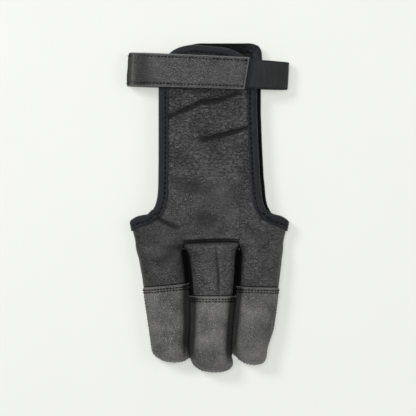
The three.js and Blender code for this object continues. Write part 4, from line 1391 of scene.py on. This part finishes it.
class Finish:
    """A procedural material. Its textures are laid out in millimetres on the object."""

    def __init__(self, name):
        self.material = bpy.data.materials.new(name)
        self.material.use_nodes = True
        self.tree = self.material.node_tree
        self.tree.nodes.clear()
        place = self.node("ShaderNodeTexCoord").outputs["Object"]
        self.place = self.stretched(place, (1 / MM,) * 3)

    def node(self, kind, sockets=None, **settings):
        """A node whose sockets take values, links or numbers that change over the surface."""
        plain = {key: value.socket if isinstance(value, Number) else value
                 for key, value in (sockets or {}).items()}
        return add_node(self.tree, kind, settings, plain)

    def stretched(self, vector, scale, turn=0.0):
        made = self.node("ShaderNodeMapping", {
            "Vector": vector, "Scale": scale, "Rotation": (0, 0, math.radians(turn))})
        return made.outputs["Vector"]

    def noise(self, size, detail=2.0, vector=None):
        """Random number around 0.5, size in millimetres."""
        made = self.node("ShaderNodeTexNoise", {
            "Vector": vector or self.place, "Scale": 1 / size, "Detail": detail})
        return Number(self, made.outputs["Fac"])

    def cells(self, size, vector=None, feature="DISTANCE_TO_EDGE"):
        """Distance to the nearest border of a cell, or from its middle, as a share of its size."""
        made = self.node("ShaderNodeTexVoronoi", {
            "Vector": vector or self.place, "Scale": 1 / size}, feature=feature)
        return Number(self, made.outputs["Distance"])

    def mark(self, name):
        return Number(self, self.node("ShaderNodeAttribute", attribute_name=name).outputs["Fac"])

    def mixed(self, share, first, second):
        """Colour between two colours."""
        ends = ((*value, 1) if isinstance(value, tuple) else value for value in (first, second))
        sockets = dict(zip((0, 6, 7), (share, *ends)))
        return self.node("ShaderNodeMix", sockets, data_type="RGBA").outputs[2]

    def surface(self, colour, roughness, height, settings):
        """Ends the material: height is relief in millimetres."""
        relief = self.node("ShaderNodeBump", {"Height": height, "Distance": MM, "Strength": 1.0})
        shader = self.node("ShaderNodeBsdfPrincipled", {
            "Base Color": colour, "Roughness": roughness, "Normal": relief.outputs[0], **settings})
        self.node("ShaderNodeOutputMaterial", {"Surface": shader.outputs[0]})
        return self.material


def leather_finish(name, dark, light, grain, depth, wrinkle, gloss, cut=(0.11, 0.11, 0.112),
                   shine=0.6):
    """Grained leather: pebbled cells, fine pores, crossing wrinkles and rubbed high spots, with
    painted shade in the wrinkle lines, creases, seams and valleys.

    grain: size of a pebble. depth, wrinkle: height of pebbles and of wrinkles.
    gloss: roughness of the pebbles. cut: colour of the cut edges. shine: strength of the gloss.
    """
    look = Finish(name)
    warp = look.node("ShaderNodeTexNoise", {"Vector": look.place, "Scale": 0.35, "Detail": 2.0})
    bent = look.node("ShaderNodeVectorMath", {
        0: warp.outputs["Color"], 1: (2.4, 2.4, 2.4), 2: look.place},
        operation="MULTIPLY_ADD").outputs[0]
    pebbles = look.cells(grain, bent).between(0.0, 0.32)
    pores = look.noise(0.28, 1.0)
    lines = 0.0
    for size, stretch, turn in ((2.3, 0.5, 30), (1.9, 0.45, -35), (2.9, 0.6, 75)):
        puffs = look.cells(size, look.stretched(bent, (stretch, 1.0, 1.0), turn))
        lines = (1 - puffs.between(-0.08, 0.34)) + lines
    drawn = lines * (0.12 + 0.88 * look.mark("drawn")) * (0.6 + 0.4 * look.noise(7.0, 1.0))
    broad = look.noise(18.0, 2.0).between(0.3, 0.7)
    patch = look.noise(1.6, 2.0, look.stretched(look.place, (1.0, 0.4, 0.5))).between(0.3, 0.7)
    groove, edge = look.mark("groove"), look.mark("edge")
    height = depth * pebbles + 0.03 * pores - wrinkle * drawn
    # Tone from grain, wear and random patches, with painted shade along the wrinkle lines
    wear_and_shade = (0.42 * pebbles + 0.43 * broad + 0.15 * patch) * (1 - 0.74 * drawn.between(0.45, 1.7))
    # Lighter where the drawn mark is high: on the wrist and the middle and right fingers
    wear_and_shade = wear_and_shade * (0.5 + 1.15 * look.mark("drawn"))
    # Painted shade mixes the colour towards near-black
    colour = look.mixed(groove * 0.88, look.mixed(wear_and_shade, dark, light), PAINTED_SHADE_BLACK)
    colour = look.mixed(edge.between(0.35, 0.9) * 0.85, colour, cut)
    roughness = gloss + 0.10 * (1 - pebbles) + 0.06 * broad + 0.5 * groove
    return look.surface(colour, roughness, height, {"Specular IOR Level": shine})


def tape_finish(name, dark, light, shine):
    """Fine knitted tape: slanted ribs along its length and a soft nap."""
    look = Finish(name)
    run, across = look.mark("run"), look.mark("across")
    rib = (run * 7.5 + across * 4.0).sine() * 0.5 + 0.5
    knit = (run * 7.5 - across * 9.0).sine() * 0.5 + 0.5
    nap = look.noise(0.45, 2.0)
    broad = look.noise(7.0, 2.0).between(0.3, 0.7)
    groove = look.mark("groove")
    # Painted shade darkens the stitch row
    share = (0.35 * rib + 0.2 * knit + 0.45 * nap) * (0.7 + 0.3 * broad) * (1 - 0.6 * groove)
    colour = look.mixed(share, dark, light)
    colour = look.mixed(look.mark("drawn") * nap.between(0.42, 0.62), colour, (0.07, 0.074, 0.085))
    height = 0.05 * rib + 0.03 * knit + 0.08 * nap
    return look.surface(colour, 0.72 + 0.15 * nap, height, {
        "Specular IOR Level": shine, "Sheen Weight": 0.3 * shine, "Sheen Roughness": 0.4})


def elastic_finish(name, dark, light):
    """Woven elastic: ribs across the band, warp lines along it and denser long edges."""
    look = Finish(name)
    run, across = look.mark("run"), look.mark("across")
    stagger = (across * 2 * math.pi / 2.1).sine()
    weft = (run * 2 * math.pi / 1.5 + 0.9 * stagger).sine() * 0.5 + 0.5
    warp = (across * 2 * math.pi / 0.9).sine() * 0.5 + 0.5
    streaks = look.noise(1.0, 2.0, look.stretched(look.place, (0.9, 0.12, 0.3))).between(0.35, 0.65)
    fuzz = look.noise(0.5, 2.0)
    selvedge = 1 - (across - 0.9).between(0.0, 0.5)
    selvedge = selvedge + (across - ELASTIC_WIDTH + 1.3).between(0.0, 0.5)
    share = (0.3 * weft + 0.2 * warp + 0.2 * streaks + 0.3 * fuzz) * (1 - 0.5 * selvedge)
    colour = look.mixed(share, dark, light)
    height = 0.09 * weft + 0.06 * warp + 0.06 * fuzz
    return look.surface(colour, 0.8 + 0.1 * fuzz, height, {
        "Specular IOR Level": 0.3, "Sheen Weight": 0.1, "Sheen Roughness": 0.5})


def hook_finish(name):
    """Stubble of the hook patch."""
    look = Finish(name)
    stubble = look.cells(0.8, feature="F1").between(0.1, 0.6)
    colour = look.mixed(stubble, (0.03, 0.03, 0.032), (0.008, 0.008, 0.009))
    return look.surface(colour, 0.85 + 0.1 * stubble, 0.4 * (1 - stubble), {
        "Specular IOR Level": 0.3})


def thread_finish(name):
    """Twisted black sewing thread."""
    look = Finish(name)
    twist = look.noise(0.25, 1.0)
    colour = look.mixed(twist, (0.0005, 0.0005, 0.0006), (0.004, 0.004, 0.0045))
    return look.surface(colour, 0.75 + 0.1 * twist, 0.08 * twist, {"Specular IOR Level": 0.15})


# Setting

def add_floor():
    mesh = bpy.data.meshes.new("pale_floor")
    mesh.from_pydata([(-3, -3, 0), (3, -3, 0), (3, 3, 0), (-3, 3, 0)], [], [(0, 1, 2, 3)])
    look = Finish("pale_paper")
    tone = look.noise(60.0, 2.0)
    colour = look.mixed(tone, (0.49, 0.496, 0.47), (0.51, 0.516, 0.49))
    mesh.materials.append(look.surface(colour, 0.9, 0.01 * tone, {
        "Specular IOR Level": 0.1, "Emission Color": (0.98, 1.0, 0.935, 1),
        "Emission Strength": PAPER_GLOW}))
    add_object("pale_floor", mesh)


def add_light(name, place, size, power):
    light = bpy.data.lights.new(name, "AREA")
    light.shape, light.size, light.energy = "DISK", size, power
    lamp = add_object(name, light)
    lamp.location = place
    lamp.rotation_euler = Vector(place).to_track_quat("Z", "Y").to_euler()


def add_camera():
    camera = bpy.data.cameras.new("overhead_camera")
    camera.sensor_width = SENSOR
    camera.lens = SENSOR * (CAMERA_HEIGHT - VIEW_PLANE) / (PICTURE_WIDTH * MM)
    seen = add_object("overhead_camera", camera)
    seen.location = (0, -PICTURE_DROP * MM, CAMERA_HEIGHT)
    bpy.context.scene.camera = seen


def add_setting():
    add_camera()
    add_floor()
    add_light("overhead_softbox", (-0.12, 0.15, 1.65), 0.75, 10.5)
    add_light("left_softbox", (-0.95, 0.75, 1.15), 0.55, 12.5)
    add_light("right_softbox", (1.0, 0.2, 1.2), 0.8, 4)
    world = bpy.data.worlds.new("studio_room")
    world.use_nodes = True
    background = world.node_tree.nodes["Background"].inputs
    background["Color"].default_value = (1, 1, 1, 1)
    background["Strength"].default_value = ROOM_LIGHT
    bpy.context.scene.world = world
    bpy.context.scene.view_settings.view_transform = "Standard"


def seat(piece, slot, *nodes):
    """The piece rides on the glove and stands for its CAD nodes."""
    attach(piece, "root")
    if nodes:
        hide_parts(*nodes)


def add_glove():
    leather = leather_finish("soft_glove_leather", (0.001, 0.001, 0.001), (0.082, 0.08, 0.08),
                             1.1, 0.16, 0.34, 0.31, shine=0.48)
    # Painted shade: the back's leather is a darker, duller copy of the front's, for the shadow it
    # lies in
    inside = leather_finish("shade_darkened_back_leather", (0.003, 0.003, 0.0034), (0.012, 0.012, 0.013),
                            1.2, 0.08, 0.05, 0.6, shine=0.25)
    # Painted shade: the side walls between the fingers are a near-black copy of the leather, for
    # the deep shadow of the valleys
    shaded = leather_finish("shade_darkened_side_leather", (0.0003, 0.0003, 0.0004), (0.0015, 0.0015, 0.0016),
                            1.2, 0.08, 0.05, 0.85, shine=0.15)
    caps = leather_finish("pebbled_cap_leather", (0.02, 0.0197, 0.019), (0.26, 0.255, 0.25),
                          1.15, 0.22, 0.08, 0.34, (0.13, 0.13, 0.13))
    strap = leather_finish("strap_leather", (0.002, 0.002, 0.002), (0.06, 0.0588, 0.0588),
                           1.0, 0.13, 0.10, 0.31, (0.16, 0.16, 0.162))
    tape = tape_finish("navy_binding_tape", (0.003, 0.0032, 0.0045), (0.024, 0.0255, 0.033), 0.35)
    # Painted shade: the back's binding is a darker copy of the navy tape, for the shadow it lies in
    lower_tape = tape_finish("shade_darkened_binding_tape", (0.0008, 0.001, 0.0014),
                             (0.006, 0.0068, 0.0088), 0.1)
    elastic = elastic_finish("charcoal_elastic", (0.006, 0.0063, 0.007), (0.036, 0.037, 0.039))
    hooks = hook_finish("hook_stubble")
    thread = thread_finish("black_thread")

    seat(front_panel(leather), "leather", "front_panel")
    seat(middle_insert(leather), "leather", "middle_finger_panel")
    seat(back_panel(inside), "back_leather", "back_panel")
    for name, pair, across in (("left_fourchette", (LEFT, MIDDLE), LEFT_PARTING),
                               ("right_fourchette", (MIDDLE, RIGHT), RIGHT_PARTING)):
        seat(fourchette(name + "_leather", *pair, across, shaded), "back_leather", name)
    for finger in (LEFT, MIDDLE, RIGHT):
        seat(fingertip_cap(finger, caps), "cap_leather", f"{finger.name}_fingertip_cap")
    seat(strip_binding("front_binding_tape", "front", FRONT_TAPE_FLARE, tape),
         "binding", "front_binding")
    seat(strip_binding("back_binding_tape", "back", BACK_TAPE_FLARE, lower_tape),
         "binding", "back_binding")
    seat(opening_binding("left_opening_tape", -1, tape), "binding", "left_opening_binding")
    seat(opening_binding("right_opening_tape", 1, tape), "binding", "right_opening_binding")
    edge_rows = (0, 0.12, 0.3, 0.6, 1.0, 1.5, 1.9, 2.3, 2.8)
    seat(band("wrist_strap_leather", strap_path(), STRAP_WALL, STRAP_WIDTH, STRAP_TAPER, strap,
              strap_relief, STRAP_END_SLANT, edge_rows, paint_fold_light=True),
         "strap_leather", "wrist_strap")
    seat(band("elastic_band_weave", elastic_path(), ELASTIC_WALL, ELASTIC_WIDTH, ELASTIC_TAPER,
              elastic, elastic_relief), "elastic", "elastic_band")
    seat(band("hook_patch_stubble", hook_path(), HOOK_WALL, ELASTIC_WIDTH - 2 * HOOK_INSET,
              ELASTIC_TAPER, hooks, hook_relief), "hook", "hook_patch")
    add_sewing(thread)


def add_sewing(thread):
    tree = sewn_thread_nodes()
    binding_rows = [strip_stitch_row(face, STITCH_FLARE) for face in ("front", "back")]
    binding_rows += opening_stitch_rows(-1) + opening_stitch_rows(1)
    seat(sewn("binding_stitches", binding_rows, BINDING_SEWING, tree, thread), "binding")
    cap_rows = [row for finger in (LEFT, MIDDLE, RIGHT) for row in cap_stitch_rows(finger)]
    cap_rows += [tip_stitch_row(finger) for finger in (LEFT, MIDDLE, RIGHT)]
    seat(sewn("cap_stitches", cap_rows, CAP_SEWING, tree, thread), "cap_leather")
    seat(sewn("insert_stitches", [insert_stitch_row()], INSERT_SEWING, tree, thread), "leather")
    seat(sewn("strap_stitches", strap_stitch_rows(), STRAP_SEWING, tree, thread), "strap_leather")


add_setting()
add_glove()
